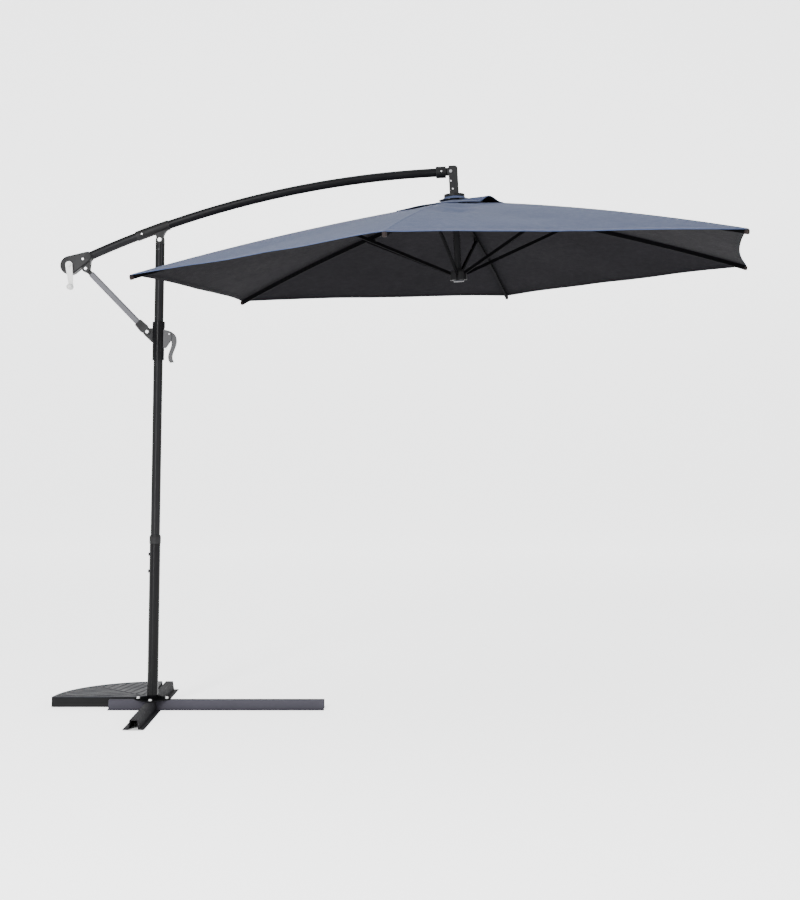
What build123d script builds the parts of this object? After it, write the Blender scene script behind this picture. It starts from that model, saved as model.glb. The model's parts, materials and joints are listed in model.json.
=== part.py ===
from build123d import *
from math import asin, atan2, cos, degrees, hypot, pi, radians, sin, sqrt, tan
import os

os.makedirs("parts", exist_ok=True)

# A cantilever parasol: a mast on a cross base, a curved boom with a hand crank at its rear end, and a
# six-rib canopy that hangs from the boom's front end. Millimetres, +Z up. The origin is on the mast's
# axis at floor level, +X points along the boom to the canopy, and the boom lies in the XZ plane.

# ---------------------------------------------------------------- driving dimensions
GAP = 0.3  # between curved faces of different bodies
PIN_PLAY = 0.05  # radial play of a pin in its hole
SEAT_PLAY = 0.1  # radial play of a tube in its socket

# base: bars of a rolled hat section, and one ballast slab on their flanges
BAR_WIDTH = 90
BAR_RIDGE = 34
BAR_FOOT = 46
BAR_HEIGHT = 40
BAR_SHEET = 2.5
FOOT_PLATE = 120  # length of the plate welded in under the mast
ARM_BACK = 193
ARM_FRONT = 767
ARM_NEAR = 485
ARM_FAR = 500
BOLT_CIRCLE = 64
BOLT_RADIUS = 4
BOLT_HOLE = 4.3
BOLT_WASHER = 1.5
BOLT_HEAD = (6.5, 5.5)  # the hexagon's radius and height
BOLT_LENGTH = 18
FLANGE_THICK = 5
SLAB_RADIUS = 460
SLAB_THICK = 45
SLAB_CORNER = 12
SLAB_EDGE = 4
SLAB_GAP = 2  # between the slab and the bars' ridges

# mast: a lower tube with a flange, an upper tube inside it, and a head that the boom turns on
LOWER_RADIUS = 24
UPPER_RADIUS = 21.2
TUBE_WALL = 2
JOINT_Z = 734
UPPER_FOOT_Z = 583
JOINT_SCREW_Z = (605, 680)
JOINT_SCREW_RADIUS = 4
UPPER_TOP_Z = 2086
HEAD_SCREW = (-3, 2062)
HEAD_SCREW_RADIUS = 2.5
HEAD_PLUG = 66
PIVOT_Z = 2107
PIVOT_RADIUS = 6
TONGUE_HALF = 8
TONGUE_RADIUS = 20
PIVOT_HEAD = 9.5
CHEEK_THICK = 6
CHEEK_GAP = 0.4

# collar that slides on the mast, with the strut's ear and the clamp lever
COLLAR_FOOT_Z = 1553
COLLAR_TOP_Z = 1729
COLLAR_RADIUS = 27
COLLAR_RING = 30
EAR_HALF = 5
LEVER_PIVOT = (50, 1672)
LEVER_HALF = 7
LEVER_PIN = 3
BRACKET_WEB = 4  # thickness of the bracket behind the lever
SHOE = (14, 13, 28)  # the clamp's pad: depth, width and height

# boom: an arc of a circle in the XZ plane, with a sleeve on the mast and a socket at its front end
BOOM_RADIUS = 20
BOOM_CENTRE = (1499, -1961)
BOOM_BEND = 4388
BOOM_REAR_X = -362
BOOM_FRONT_X = 1308
SADDLE = (-107, 39)
SADDLE_RADIUS = 23.5
SADDLE_SCREW = (-81, 2132)
SOCKET = (1271, 1316)
SOCKET_RADIUS = 27
SOCKET_SCREW = (1295, 2423)
SCREW_RADIUS = 3

# strut between the boom's rear end and the collar on the mast
STRUT_TOP = (-337, 1973)
STRUT_FOOT = (-52, 1683)
STRUT_SLOT = (22, 14.4)  # the slot in the collar's ear: length and height
STRUT_PIN = 5
STRUT_OVAL = (27, 15)
STRUT_WALL = 1.5
STRUT_SPIGOT = (23.6, 11.6)
BOOT_HALF = 21
STRUT_TUBE = (34, 62)  # how far the tube's ends are from the two pins
STRUT_PIN_HEAD = (7, 3)

# crank and its housing at the boom's rear end
CRANK = (-410, 1988)
DRUM_RADIUS = 20
CORD_RADIUS = 2
CORD_INSET = 14
CRANK_LENGTH = 105
CRANK_LEAN = 7
SHAFT_RADIUS = 6
KNOB_PIN = 4
KNOB = (13, 40)  # radius and length
HOUSING_RADIUS = 43
HOUSING_HALF = 27
HOUSING_NECK = 23.5
HOUSING_ROUND = 6
HOUSING_SCREW = (-349, 2016)
CAVITY_RADIUS = 38
CAVITY_HALF = 21
BRACKET_RADIUS = 17
BRACKET_SLOT = 8.2

# elbow and hanging axis
ELBOW = (1338, 2425)
ELBOW_PIN = 5
PULLEY_RADIUS = 10
HANG_TILT = 2.8
TONGUE = 11
FORK_HALF = 20.5
FORK_FOOT = 106
FORK_ROUND = 14  # on the upper outer corner
FORK_SCREWS = ((-13, -46), (-6, -83))
POLE_SOCKET = 46  # how deep the pole sits in the fork
SCREW_HEAD = 3.6

# canopy: distances along the hanging axis are measured down from the elbow pin's level
RIB_COUNT = 6
FIRST_RIB_ANGLE = 17.4
POLE_RADIUS = 16
POLE_WALL = 1.5
CAP_RADIUS = 48
CAP_THICK = 14
CAP_STEP = (36, 5)  # radius and depth of the step that holds the vent cloth down
CROWN_NECK = 22
CROWN_DROP = 158
CROWN_RADIUS = 46
CROWN_TOP = 145
CROWN_FOOT = 184
TIP_DROP = 469
HUB_DROP = 478
HUB_RADIUS = 39
HUB_TOP = 457
HUB_FOOT = 506
RIB_HINGE_RADIUS = 32
RIB_TIP_RADIUS = 1490
RIB_BOW = 22  # how far the middle of a rib stands above the line between its ends
RIB_WIDTH = 12
RIB_HEIGHT = 18
RIB_WALL = 0.8
STRETCHER_AT = 520
STRETCHER_BELOW = 20
STRETCHER_HINGE_RADIUS = 30
STRETCHER_WIDTH = 10
STRETCHER_HEIGHT = 14
SMALL_PIN = 2.5
CANOPY_RADIUS = 1500
CANOPY_HOLLOW = 50
CANOPY_OPENING = 150
CANOPY_BREAK = 700  # radius where the cloth's inner and outer slopes meet
CANOPY_LIFT = 11  # the cloth above the ribs' top faces
VENT_RADIUS = 285
VENT_INNER = 25
VENT_HOLLOW = 8
VENT_GAP = 7
FABRIC = 1

# ---------------------------------------------------------------- derived geometry
PITCH = DRUM_RADIUS + CORD_RADIUS
PULLEY_PITCH = PULLEY_RADIUS + CORD_RADIUS
BAR_TOP_Z = BAR_HEIGHT + FLANGE_THICK
RIB_SLOPE = atan2(TIP_DROP - CROWN_DROP, RIB_TIP_RADIUS - RIB_HINGE_RADIUS)
RIB_LENGTH = hypot(TIP_DROP - CROWN_DROP, RIB_TIP_RADIUS - RIB_HINGE_RADIUS)
RIB_BEND = (RIB_LENGTH**2 / 4 + RIB_BOW**2) / (2 * RIB_BOW)  # radius of the ribs' bow
TILT = radians(HANG_TILT)

STRUT_ANGLE = atan2(STRUT_FOOT[0] - STRUT_TOP[0], STRUT_TOP[1] - STRUT_FOOT[1])
STRUT_LENGTH = hypot(STRUT_FOOT[0] - STRUT_TOP[0], STRUT_FOOT[1] - STRUT_TOP[1])

# The strut's frame: x runs from its upper pin to its lower pin.
STRUT = Plane(
    origin=(STRUT_TOP[0], 0, STRUT_TOP[1]),
    x_dir=(sin(STRUT_ANGLE), 0, -cos(STRUT_ANGLE)),
    z_dir=(0, -1, 0),
)
BOOM_AXIS = Axis((BOOM_CENTRE[0], 0, BOOM_CENTRE[1]), (0, 1, 0))
HANG_DOWN = Axis((0, 0, 0), (sin(TILT), 0, -cos(TILT)))

# The hanging frame: its origin is beside the elbow pin, on the axis that the canopy hangs along.
HANG = Plane(
    origin=(ELBOW[0] + PULLEY_PITCH * cos(TILT), 0, ELBOW[1] + PULLEY_PITCH * sin(TILT)),
    x_dir=(cos(TILT), 0, sin(TILT)),
    z_dir=(-sin(TILT), 0, cos(TILT)),
)


def within(frame, plane=Plane.XY):
    """A plane given in a frame's own coordinates."""
    return Plane(frame.location * plane.location)


def across(x, z, y=0):
    """A place in the XZ plane whose own axis runs along Y."""
    return Location((x, y, z), (90, 0, 0))


def boom_angle(x):
    """The boom's angle round its centre, from straight up, at a given x."""
    return asin((x - BOOM_CENTRE[0]) / BOOM_BEND)


def boom_point(x, inward=0):
    """A point on the boom's axis at a given x, or that far inside it."""
    angle = boom_angle(x)
    radius = BOOM_BEND - inward
    return (BOOM_CENTRE[0] + radius * sin(angle), BOOM_CENTRE[1] + radius * cos(angle))


def boom_section(x):
    """The plane square to the boom at a given x."""
    px, pz = boom_point(x)
    angle = boom_angle(x)
    return Plane(origin=(px, 0, pz), x_dir=(sin(angle), 0, cos(angle)), z_dir=(cos(angle), 0, -sin(angle)))


def boom_arc(x0, x1):
    """The angle in degrees that the boom turns through between two x positions."""
    return degrees(boom_angle(x1) - boom_angle(x0))


BOOM_END = boom_point(BOOM_REAR_X + 30)


def save(name, builder):
    """Label a finished piece and write it."""
    builder.part.label = name
    export_step(builder.part, f"parts/{name}.step")


# ---------------------------------------------------------------- base
def hat_outline(solid=False):
    """The bars' rolled section, drawn in the active sketch: a ridge with a flange on each side."""
    half, foot, ridge = BAR_WIDTH / 2, BAR_FOOT / 2, BAR_RIDGE / 2
    Polygon(
        (-half, 0), (half, 0), (half, BAR_SHEET), (foot, BAR_SHEET), (ridge, BAR_HEIGHT),
        (-ridge, BAR_HEIGHT), (-foot, BAR_SHEET), (-half, BAR_SHEET), align=None,
    )
    if not solid:
        Polygon(
            (-foot + BAR_SHEET, 0), (foot - BAR_SHEET, 0), (ridge - BAR_SHEET, BAR_HEIGHT - BAR_SHEET),
            (-ridge + BAR_SHEET, BAR_HEIGHT - BAR_SHEET), align=None, mode=Mode.SUBTRACT,
        )


def base_bars():
    with BuildPart() as base_bar_long:
        with BuildSketch(Plane.YZ.offset(-ARM_BACK)):
            hat_outline()
        extrude(amount=ARM_BACK + ARM_FRONT)
        with Locations((0, 0, BAR_SHEET / 2)):
            Box(FOOT_PLATE, BAR_FOOT - 2, BAR_SHEET)
        with Locations((-BOLT_CIRCLE, 0, BAR_HEIGHT), (BOLT_CIRCLE, 0, BAR_HEIGHT)):
            Hole(BOLT_HOLE, 10)
    save("base_bar_long", base_bar_long)
    for name, side, length in (("base_leg_near", -1, ARM_NEAR), ("base_leg_far", 1, ARM_FAR)):
        with BuildPart() as leg:
            with BuildSketch(Plane.XZ):
                hat_outline()
            extrude(amount=-side * length)
            with BuildSketch(Plane.YZ.offset(-BAR_WIDTH)):
                hat_outline(solid=True)
            extrude(amount=2 * BAR_WIDTH, mode=Mode.SUBTRACT)
            with Locations((0, side * BOLT_CIRCLE, BAR_HEIGHT)):
                Hole(BOLT_HOLE, 10)
        save(name, leg)


def base_slab():
    """A quarter disc that lies on the flanges of two bars."""
    edge = BAR_FOOT / 2 + SLAB_GAP
    with BuildPart() as slab:
        with BuildSketch(Plane.XY.offset(BAR_SHEET)):
            Circle(SLAB_RADIUS)
            Rectangle(SLAB_RADIUS, SLAB_RADIUS, align=(Align.MAX, Align.MIN), mode=Mode.INTERSECT)
            with Locations((-edge, edge)):
                Rectangle(SLAB_RADIUS, SLAB_RADIUS, align=(Align.MAX, Align.MIN), mode=Mode.INTERSECT)
            fillet(vertices().sort_by(Axis.X)[0], SLAB_CORNER)
            fillet(vertices().sort_by(Axis.Y)[-1], SLAB_CORNER)
            with Locations(Rotation(0, 0, 45)):
                Rectangle(2 * BOLT_CIRCLE + 8, 2 * BOLT_CIRCLE + 8, mode=Mode.SUBTRACT)
        extrude(amount=SLAB_THICK)
        chamfer(faces().sort_by(Axis.Z)[-1].edges(), SLAB_EDGE)
    save("base_slab", slab)


# ---------------------------------------------------------------- mast
def mast_lower():
    with BuildPart() as tube:
        with BuildSketch(Plane.XY.offset(BAR_HEIGHT)):
            with Locations(Rotation(0, 0, 45)):
                RectangleRounded(2 * BOLT_CIRCLE, 2 * BOLT_CIRCLE, 24)
            with PolarLocations(BOLT_CIRCLE, 4):
                Circle(BOLT_HOLE, mode=Mode.SUBTRACT)
        extrude(amount=FLANGE_THICK)
        with BuildSketch(Plane.XY.offset(BAR_TOP_Z)):
            Circle(LOWER_RADIUS)
            Circle(LOWER_RADIUS - TUBE_WALL, mode=Mode.SUBTRACT)
        extrude(amount=JOINT_Z - BAR_TOP_Z)
        with Locations(*[Location((-LOWER_RADIUS, 0, z), (0, 90, 0)) for z in JOINT_SCREW_Z]):
            Cylinder(JOINT_SCREW_RADIUS + 0.2, 10, mode=Mode.SUBTRACT)
    save("mast_lower", tube)


def flange_bolts():
    """Four bolts that hold the mast's flange on the bars."""
    with BuildPart() as bolts:
        with BuildSketch(Plane.XY.offset(BAR_TOP_Z)):
            with PolarLocations(BOLT_CIRCLE, 4):
                Circle(2 * BOLT_RADIUS)
        extrude(amount=BOLT_WASHER)
        with BuildSketch(Plane.XY.offset(BAR_TOP_Z + BOLT_WASHER)):
            with PolarLocations(BOLT_CIRCLE, 4):
                RegularPolygon(BOLT_HEAD[0], 6)
        extrude(amount=BOLT_HEAD[1])
        with BuildSketch(Plane.XY.offset(BAR_TOP_Z)):
            with PolarLocations(BOLT_CIRCLE, 4):
                Circle(BOLT_RADIUS)
        extrude(amount=-BOLT_LENGTH)
    save("flange_bolts", bolts)


def mast_joint():
    """The plastic ring over the tubes' joint, the screws through it, and the screw of the head."""
    with BuildPart() as ring:
        with BuildSketch(Plane.XZ):
            with BuildLine():
                Polyline(
                    (UPPER_RADIUS + 2 * SEAT_PLAY, JOINT_Z), (LOWER_RADIUS + SEAT_PLAY, JOINT_Z),
                    (LOWER_RADIUS + SEAT_PLAY, JOINT_Z - 6), (LOWER_RADIUS + 1.8, JOINT_Z - 6),
                    (LOWER_RADIUS + 1.8, JOINT_Z + 24), (LOWER_RADIUS - 0.5, JOINT_Z + 30),
                    (UPPER_RADIUS + 2 * SEAT_PLAY, JOINT_Z + 30), close=True,
                )
            make_face()
        revolve(axis=Axis.Z)
    save("mast_joint_collar", ring)
    with BuildPart() as screws:
        with Locations(*[Location((-LOWER_RADIUS - 2.5, 0, z), (0, 90, 0)) for z in JOINT_SCREW_Z]):
            Cylinder(7, 5)
        with Locations(*[Location((-LOWER_RADIUS + 2.5, 0, z), (0, 90, 0)) for z in JOINT_SCREW_Z]):
            Cylinder(JOINT_SCREW_RADIUS, 10)
        with Locations(across(*HEAD_SCREW, -UPPER_RADIUS - 1.5)):
            Cylinder(4, 3)
        with Locations(across(*HEAD_SCREW, -UPPER_RADIUS + 3)):
            Cylinder(HEAD_SCREW_RADIUS, 6)
    save("mast_screws", screws)


def mast_upper():
    with BuildPart() as tube:
        with BuildSketch(Plane.XY.offset(UPPER_FOOT_Z)):
            Circle(UPPER_RADIUS)
            Circle(UPPER_RADIUS - TUBE_WALL, mode=Mode.SUBTRACT)
        extrude(amount=UPPER_TOP_Z - UPPER_FOOT_Z)
        with Locations(*[Location((-UPPER_RADIUS, 0, z), (0, 90, 0)) for z in JOINT_SCREW_Z]):
            Cylinder(JOINT_SCREW_RADIUS + 0.2, 10, mode=Mode.SUBTRACT)
        with Locations(across(*HEAD_SCREW, -UPPER_RADIUS)):
            Cylinder(HEAD_SCREW_RADIUS + SEAT_PLAY, 8, mode=Mode.SUBTRACT)
    save("mast_upper", tube)


def mast_head():
    """A plug in the mast's top with the tongue that the boom's saddle turns on."""
    with BuildPart() as head:
        with BuildSketch(Plane.XY.offset(UPPER_TOP_Z - HEAD_PLUG)):
            Circle(UPPER_RADIUS - TUBE_WALL - SEAT_PLAY)
        extrude(amount=HEAD_PLUG)
        with BuildSketch(Plane.XY.offset(UPPER_TOP_Z)):
            Circle(UPPER_RADIUS + 1)
        extrude(amount=4)
        with BuildSketch(Plane.XZ):
            with Locations((0, PIVOT_Z)):
                Circle(TONGUE_RADIUS)
            with Locations((0, UPPER_TOP_Z + 4)):
                Rectangle(2 * TONGUE_RADIUS, PIVOT_Z - UPPER_TOP_Z - 4, align=(Align.CENTER, Align.MIN))
        extrude(amount=TONGUE_HALF, both=True)
        with Locations(across(0, PIVOT_Z)):
            Cylinder(PIVOT_RADIUS + PIN_PLAY, 40, mode=Mode.SUBTRACT)
        with Locations(across(*HEAD_SCREW, -UPPER_RADIUS)):
            Cylinder(HEAD_SCREW_RADIUS + SEAT_PLAY, 14, mode=Mode.SUBTRACT)
    save("mast_head", head)


# ---------------------------------------------------------------- collar on the mast
def slide_collar():
    """The sleeve that slides on the mast, with the strut's ear behind and a window for the clamp's pad."""
    with BuildPart() as collar:
        with BuildSketch(Plane.XY.offset(COLLAR_FOOT_Z)):
            Circle(COLLAR_RADIUS)
        extrude(amount=COLLAR_TOP_Z - COLLAR_FOOT_Z)
        with BuildSketch(Plane.XY.offset(COLLAR_TOP_Z - COLLAR_RING)):
            Circle(COLLAR_RADIUS + 1.8)
        extrude(amount=COLLAR_RING)
        fillet(edges().filter_by(GeomType.CIRCLE).sort_by(Axis.Z)[-1:], 1.5)
        with BuildSketch(Plane.XZ):
            with BuildLine():
                Polyline(
                    (-15, STRUT_FOOT[1] - 48), (-30, STRUT_FOOT[1] - 48), (-70, STRUT_FOOT[1] - 10),
                    (-70, STRUT_FOOT[1] + 10), (-58, STRUT_FOOT[1] + 17), (-15, STRUT_FOOT[1] + 17),
                    close=True,
                )
            make_face()
            fillet(vertices().sort_by(Axis.X)[:2], 7)
        extrude(amount=EAR_HALF, both=True)
        with Locations((30, 0, LEVER_PIVOT[1])):
            Box(30, SHOE[1] + 2 * GAP, SHOE[2] + 2 * GAP, mode=Mode.SUBTRACT)
        with BuildSketch(Plane.XZ):
            with Locations((STRUT_FOOT[0] - 2.5, STRUT_FOOT[1])):
                SlotOverall(*STRUT_SLOT)
        extrude(amount=20, both=True, mode=Mode.SUBTRACT)
        with BuildSketch(Plane.XY.offset(COLLAR_FOOT_Z)):
            Circle(UPPER_RADIUS + GAP)
        extrude(amount=COLLAR_TOP_Z - COLLAR_FOOT_Z, mode=Mode.SUBTRACT)
    save("slide_collar", collar)


def clamp_parts():
    """The cast bracket on the collar, the pad pressed on the mast, the lever with its cam, and its pin."""
    px, pz = LEVER_PIVOT
    with BuildPart() as bracket:
        with BuildSketch(Plane.XZ):
            with BuildLine():
                Polyline(
                    (15, pz - 60), (33, pz - 64), (px + 10, pz - 24), (px + 11, pz + 4), (px + 2, pz + 14),
                    (32, pz + 20), (15, pz + 20), close=True,
                )
            make_face()
            fillet(vertices().sort_by(Axis.X)[2:], 4)
        extrude(amount=LEVER_HALF + CHEEK_GAP + CHEEK_THICK, both=True)
        with Locations((COLLAR_RADIUS + BRACKET_WEB, 0, pz - 30)):
            Box(60, 2 * (LEVER_HALF + CHEEK_GAP), 120, align=(Align.MIN, Align.CENTER, Align.CENTER),
                mode=Mode.SUBTRACT)
        with Locations((30, 0, pz)):
            Box(30, SHOE[1] + 2 * GAP, SHOE[2] + 2 * GAP, mode=Mode.SUBTRACT)
        with Locations(across(px, pz)):
            Cylinder(LEVER_PIN, 60, mode=Mode.SUBTRACT)
        with BuildSketch(Plane.XY.offset(COLLAR_FOOT_Z)):
            Circle(COLLAR_RADIUS)
        extrude(amount=COLLAR_TOP_Z - COLLAR_FOOT_Z, mode=Mode.SUBTRACT)
    save("lever_bracket", bracket)
    with BuildPart() as shoe:
        with Locations((UPPER_RADIUS + GAP + SHOE[0] / 2, 0, pz)):
            Box(*SHOE)
        with BuildSketch(Plane.XY.offset(pz - SHOE[2] / 2)):
            Circle(UPPER_RADIUS + GAP)
        extrude(amount=SHOE[2], mode=Mode.SUBTRACT)
    save("clamp_shoe", shoe)
    with BuildPart() as pin:
        with Locations(across(px, pz)):
            Cylinder(LEVER_PIN, 2 * (LEVER_HALF + CHEEK_GAP + CHEEK_THICK) + 3)
    save("lever_pin", pin)
    with BuildPart() as lever:
        with BuildSketch(Plane.XZ):
            with Locations((px, pz)):
                Circle(14)
            with BuildLine():
                outer = Spline((px + 9, pz + 10), (px + 31, pz - 16), (px + 29, pz - 56), (px + 15, pz - 98),
                               (px + 22, pz - 128))
                inner = Spline((px + 5, pz - 131), (px - 4, pz - 100), (px + 9, pz - 56), (px - 3, pz - 13))
                Line(outer @ 1, inner @ 0)
                Line(inner @ 1, outer @ 0)
            make_face()
        extrude(amount=LEVER_HALF, both=True)
        with Locations(across(px, pz)):
            Cylinder(LEVER_PIN + PIN_PLAY, 40, mode=Mode.SUBTRACT)
    save("clamp_lever", lever)


# ---------------------------------------------------------------- strut
def strut_parts():
    """An oval tube with an eye at its top and a fork at its foot, drawn along its own axis."""
    tube_start, tube_end = STRUT_TUBE[0], STRUT_LENGTH - STRUT_TUBE[1]
    with BuildPart() as tube:
        with BuildSketch(within(STRUT, Plane.YZ.offset(tube_start))):
            SlotOverall(*STRUT_OVAL)
            SlotOverall(STRUT_OVAL[0] - 2 * STRUT_WALL, STRUT_OVAL[1] - 2 * STRUT_WALL, mode=Mode.SUBTRACT)
        extrude(amount=tube_end - tube_start)
    save("strut_tube", tube)
    with BuildPart() as eye:
        with BuildSketch(STRUT):
            Circle(12)
            with Locations((tube_start / 2, 0)):
                Rectangle(tube_start, 20)
        extrude(amount=7.5, both=True)
        with BuildSketch(within(STRUT, Plane.YZ.offset(tube_start))):
            SlotOverall(*STRUT_SPIGOT)
        extrude(amount=30)
        with Locations(STRUT.location):
            Cylinder(STRUT_PIN + PIN_PLAY, 40, mode=Mode.SUBTRACT)
    save("strut_eye", eye)
    with BuildPart() as fork:
        with BuildSketch(STRUT):
            with Locations((STRUT_LENGTH, 0)):
                Circle(14)
            with BuildLine():
                Polyline(
                    (tube_end, 3 - BOOT_HALF), (STRUT_LENGTH - 20, -BOOT_HALF), (STRUT_LENGTH, -14),
                    (STRUT_LENGTH, 14), (STRUT_LENGTH - 20, BOOT_HALF), (tube_end, BOOT_HALF - 3), close=True,
                )
            make_face()
        extrude(amount=11, both=True)
        with BuildSketch(within(STRUT, Plane.YZ.offset(tube_end))):
            SlotOverall(*STRUT_SPIGOT)
        extrude(amount=-30)
        with BuildSketch(STRUT):
            with Locations((STRUT_LENGTH - 30, 0)):
                Rectangle(80, 60, align=(Align.MIN, Align.CENTER))
        extrude(amount=EAR_HALF + 0.5, both=True, mode=Mode.SUBTRACT)
        with Locations(STRUT.location * Location((STRUT_LENGTH, 0, 0))):
            Cylinder(STRUT_PIN, 40, mode=Mode.SUBTRACT)
    save("strut_fork", fork)
    with BuildPart() as pin:
        with Locations(STRUT.location * Location((STRUT_LENGTH, 0, 0))):
            Cylinder(STRUT_PIN, 24)
        with Locations(*[STRUT.location * Location((STRUT_LENGTH, 0, s * 12.5)) for s in (-1, 1)]):
            Cylinder(*STRUT_PIN_HEAD)
    save("strut_pin_lower", pin)


# ---------------------------------------------------------------- boom
def boom_sleeve(x0, x1, outer, inner, mode=Mode.ADD):
    """A piece of round tube bent along the boom."""
    with BuildSketch(boom_section(x0)) as section:
        Circle(outer)
        if inner:
            Circle(inner, mode=Mode.SUBTRACT)
    revolve(section.sketch, axis=BOOM_AXIS, revolution_arc=boom_arc(x0, x1), mode=mode)


def boom_tube():
    with BuildPart() as tube:
        boom_sleeve(BOOM_REAR_X, BOOM_FRONT_X, BOOM_RADIUS, BOOM_RADIUS - TUBE_WALL)
        with Locations(across(*HOUSING_SCREW), across(*SADDLE_SCREW), across(*SOCKET_SCREW)):
            Cylinder(SCREW_RADIUS + SEAT_PLAY, 60, mode=Mode.SUBTRACT)
    save("boom_tube", tube)


def boom_saddle():
    """A sleeve round the boom whose two cheeks reach down over the mast head's tongue, and the screws."""
    cheek_y = TONGUE_HALF + CHEEK_GAP
    with BuildPart() as saddle:
        with BuildSketch(Plane.XZ):
            with Locations((0, PIVOT_Z)):
                Circle(15)
            with BuildLine():
                left = Spline((-15, PIVOT_Z), (-20, PIVOT_Z + 20), (-46, PIVOT_Z + 40))
                top = Polyline(left @ 1, (-46, PIVOT_Z + 60), (38, PIVOT_Z + 76), (38, PIVOT_Z + 50))
                right = Spline(top @ 1, (20, PIVOT_Z + 26), (15, PIVOT_Z))
                Line(right @ 1, left @ 0)
            make_face()
        extrude(amount=cheek_y + CHEEK_THICK, both=True)
        with BuildSketch(Plane.XZ):
            with Locations((0, PIVOT_Z)):
                Rectangle(120, 2 * 17.5)
            with Locations((0, PIVOT_Z)):
                Circle(TONGUE_RADIUS + CHEEK_GAP)
        extrude(amount=cheek_y, both=True, mode=Mode.SUBTRACT)
        boom_sleeve(SADDLE[0], SADDLE[1], SADDLE_RADIUS, 0)
        with Locations(across(SADDLE_SCREW[0], SADDLE_SCREW[1] - 13)):
            Cylinder(7, 26)
        boom_sleeve(SADDLE[0] - 9, SADDLE[1] + 9, BOOM_RADIUS + SEAT_PLAY, 0, mode=Mode.SUBTRACT)
        with Locations(across(0, PIVOT_Z)):
            Cylinder(PIVOT_RADIUS, 60, mode=Mode.SUBTRACT)
        with Locations(across(*SADDLE_SCREW)):
            Cylinder(SCREW_RADIUS, 80, mode=Mode.SUBTRACT)
    save("boom_saddle", saddle)
    with BuildPart() as bolt:
        reach = cheek_y + CHEEK_THICK
        with Locations(across(0, PIVOT_Z)):
            Cylinder(PIVOT_RADIUS, 2 * reach)
        with Locations(across(0, PIVOT_Z, -reach - 3.5), across(0, PIVOT_Z, reach + 3.5)):
            Cylinder(PIVOT_HEAD, 7)
        fillet(edges().filter_by(GeomType.CIRCLE).sort_by(Axis.Y)[:1], 2)
    save("pivot_bolt", bolt)
    with BuildPart() as screws:
        for place, radius in ((SADDLE_SCREW, SADDLE_RADIUS), (SOCKET_SCREW, SOCKET_RADIUS)):
            with Locations(across(*place)):
                Cylinder(SCREW_RADIUS, 2 * radius)
            with Locations(*[across(*place, s * (radius + 1.5)) for s in (-1, 1)]):
                Cylinder(SCREW_HEAD, 3)
    save("boom_screws", screws)


# ---------------------------------------------------------------- crank housing
def cord_tangent(centre, radius, point):
    """Where a cord from a point meets the top of a wheel, and the cord's slope there."""
    across_x, across_z = point[0] - centre[0], point[1] - centre[1]
    lean = asin(radius / hypot(across_x, across_z))
    if across_x > 0:
        slope = atan2(across_z, across_x) - lean
    else:
        slope = atan2(-across_z, -across_x) + lean
    return (centre[0] - radius * sin(slope), centre[1] + radius * cos(slope)), slope


def housing_shell(side):
    """One half of the housing: side is -1 for the half with the crank, 1 for the other."""
    entry = boom_point(BOOM_REAR_X + 40, inward=CORD_INSET)
    leave, slope = cord_tangent(CRANK, PITCH, entry)
    with BuildPart() as shell:
        with BuildSketch(Plane.XZ):
            with Locations(CRANK):
                Circle(HOUSING_RADIUS)
            with Locations(BOOM_END):
                Circle(HOUSING_NECK)
            make_hull()
        extrude(amount=-side * HOUSING_HALF)
        fillet(faces().sort_by(Axis.Y)[0 if side < 0 else -1].edges(), HOUSING_ROUND)
        with BuildSketch(Plane.XZ):
            with Locations(BOOM_END):
                Circle(18)
            with Locations(STRUT_TOP):
                Circle(BRACKET_RADIUS)
            make_hull()
        extrude(amount=-side * 19)
        boom_sleeve(BOOM_REAR_X + 20, BOOM_REAR_X + 42, 24, 0)
        with Locations((BOOM_END[0], -side * 50, BOOM_END[1])):
            Box(200, 100, 200, mode=Mode.SUBTRACT)
        boom_sleeve(BOOM_REAR_X - 2, BOOM_REAR_X + 80, BOOM_RADIUS + SEAT_PLAY, 0, mode=Mode.SUBTRACT)
        with BuildSketch(Plane.XZ):
            with Locations(CRANK):
                Circle(CAVITY_RADIUS)
        extrude(amount=CAVITY_HALF, both=True, mode=Mode.SUBTRACT)
        with BuildSketch(Plane.XZ):
            with Locations(STRUT_TOP):
                Circle(19)
            with Locations((STRUT_TOP[0], STRUT_TOP[1] + 19)):
                Rectangle(50, 60, align=(Align.MIN, Align.MAX))
        extrude(amount=BRACKET_SLOT, both=True, mode=Mode.SUBTRACT)
        middle = ((leave[0] + entry[0]) / 2, (leave[1] + entry[1]) / 2)
        with Locations(Location((middle[0], 0, middle[1]), (0, 90 - degrees(slope), 0))):
            Cylinder(7, 110, mode=Mode.SUBTRACT)
        with Locations(across(*CRANK)):
            Cylinder(SHAFT_RADIUS + PIN_PLAY, 80, mode=Mode.SUBTRACT)
        with Locations(across(*STRUT_TOP)):
            Cylinder(STRUT_PIN, 80, mode=Mode.SUBTRACT)
        with Locations(across(*HOUSING_SCREW)):
            Cylinder(SCREW_RADIUS, 80, mode=Mode.SUBTRACT)
    return shell


def crank_housing():
    save("housing_front", housing_shell(-1))
    save("housing_back", housing_shell(1))
    with BuildPart() as screws:
        with Locations(*[across(*HOUSING_SCREW, s * (HOUSING_HALF - 7)) for s in (-1, 1)]):
            Cylinder(SCREW_RADIUS, 14)
        with Locations(*[across(*HOUSING_SCREW, s * (HOUSING_HALF + 1.5)) for s in (-1, 1)]):
            Cylinder(5, 3)
    save("housing_screws", screws)
    with BuildPart() as pin:
        with Locations(across(*STRUT_TOP)):
            Cylinder(STRUT_PIN, 38)
        with Locations(*[across(*STRUT_TOP, s * 20.5) for s in (-1, 1)]):
            Cylinder(6.5, 3)
    save("strut_pin_upper", pin)


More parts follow.
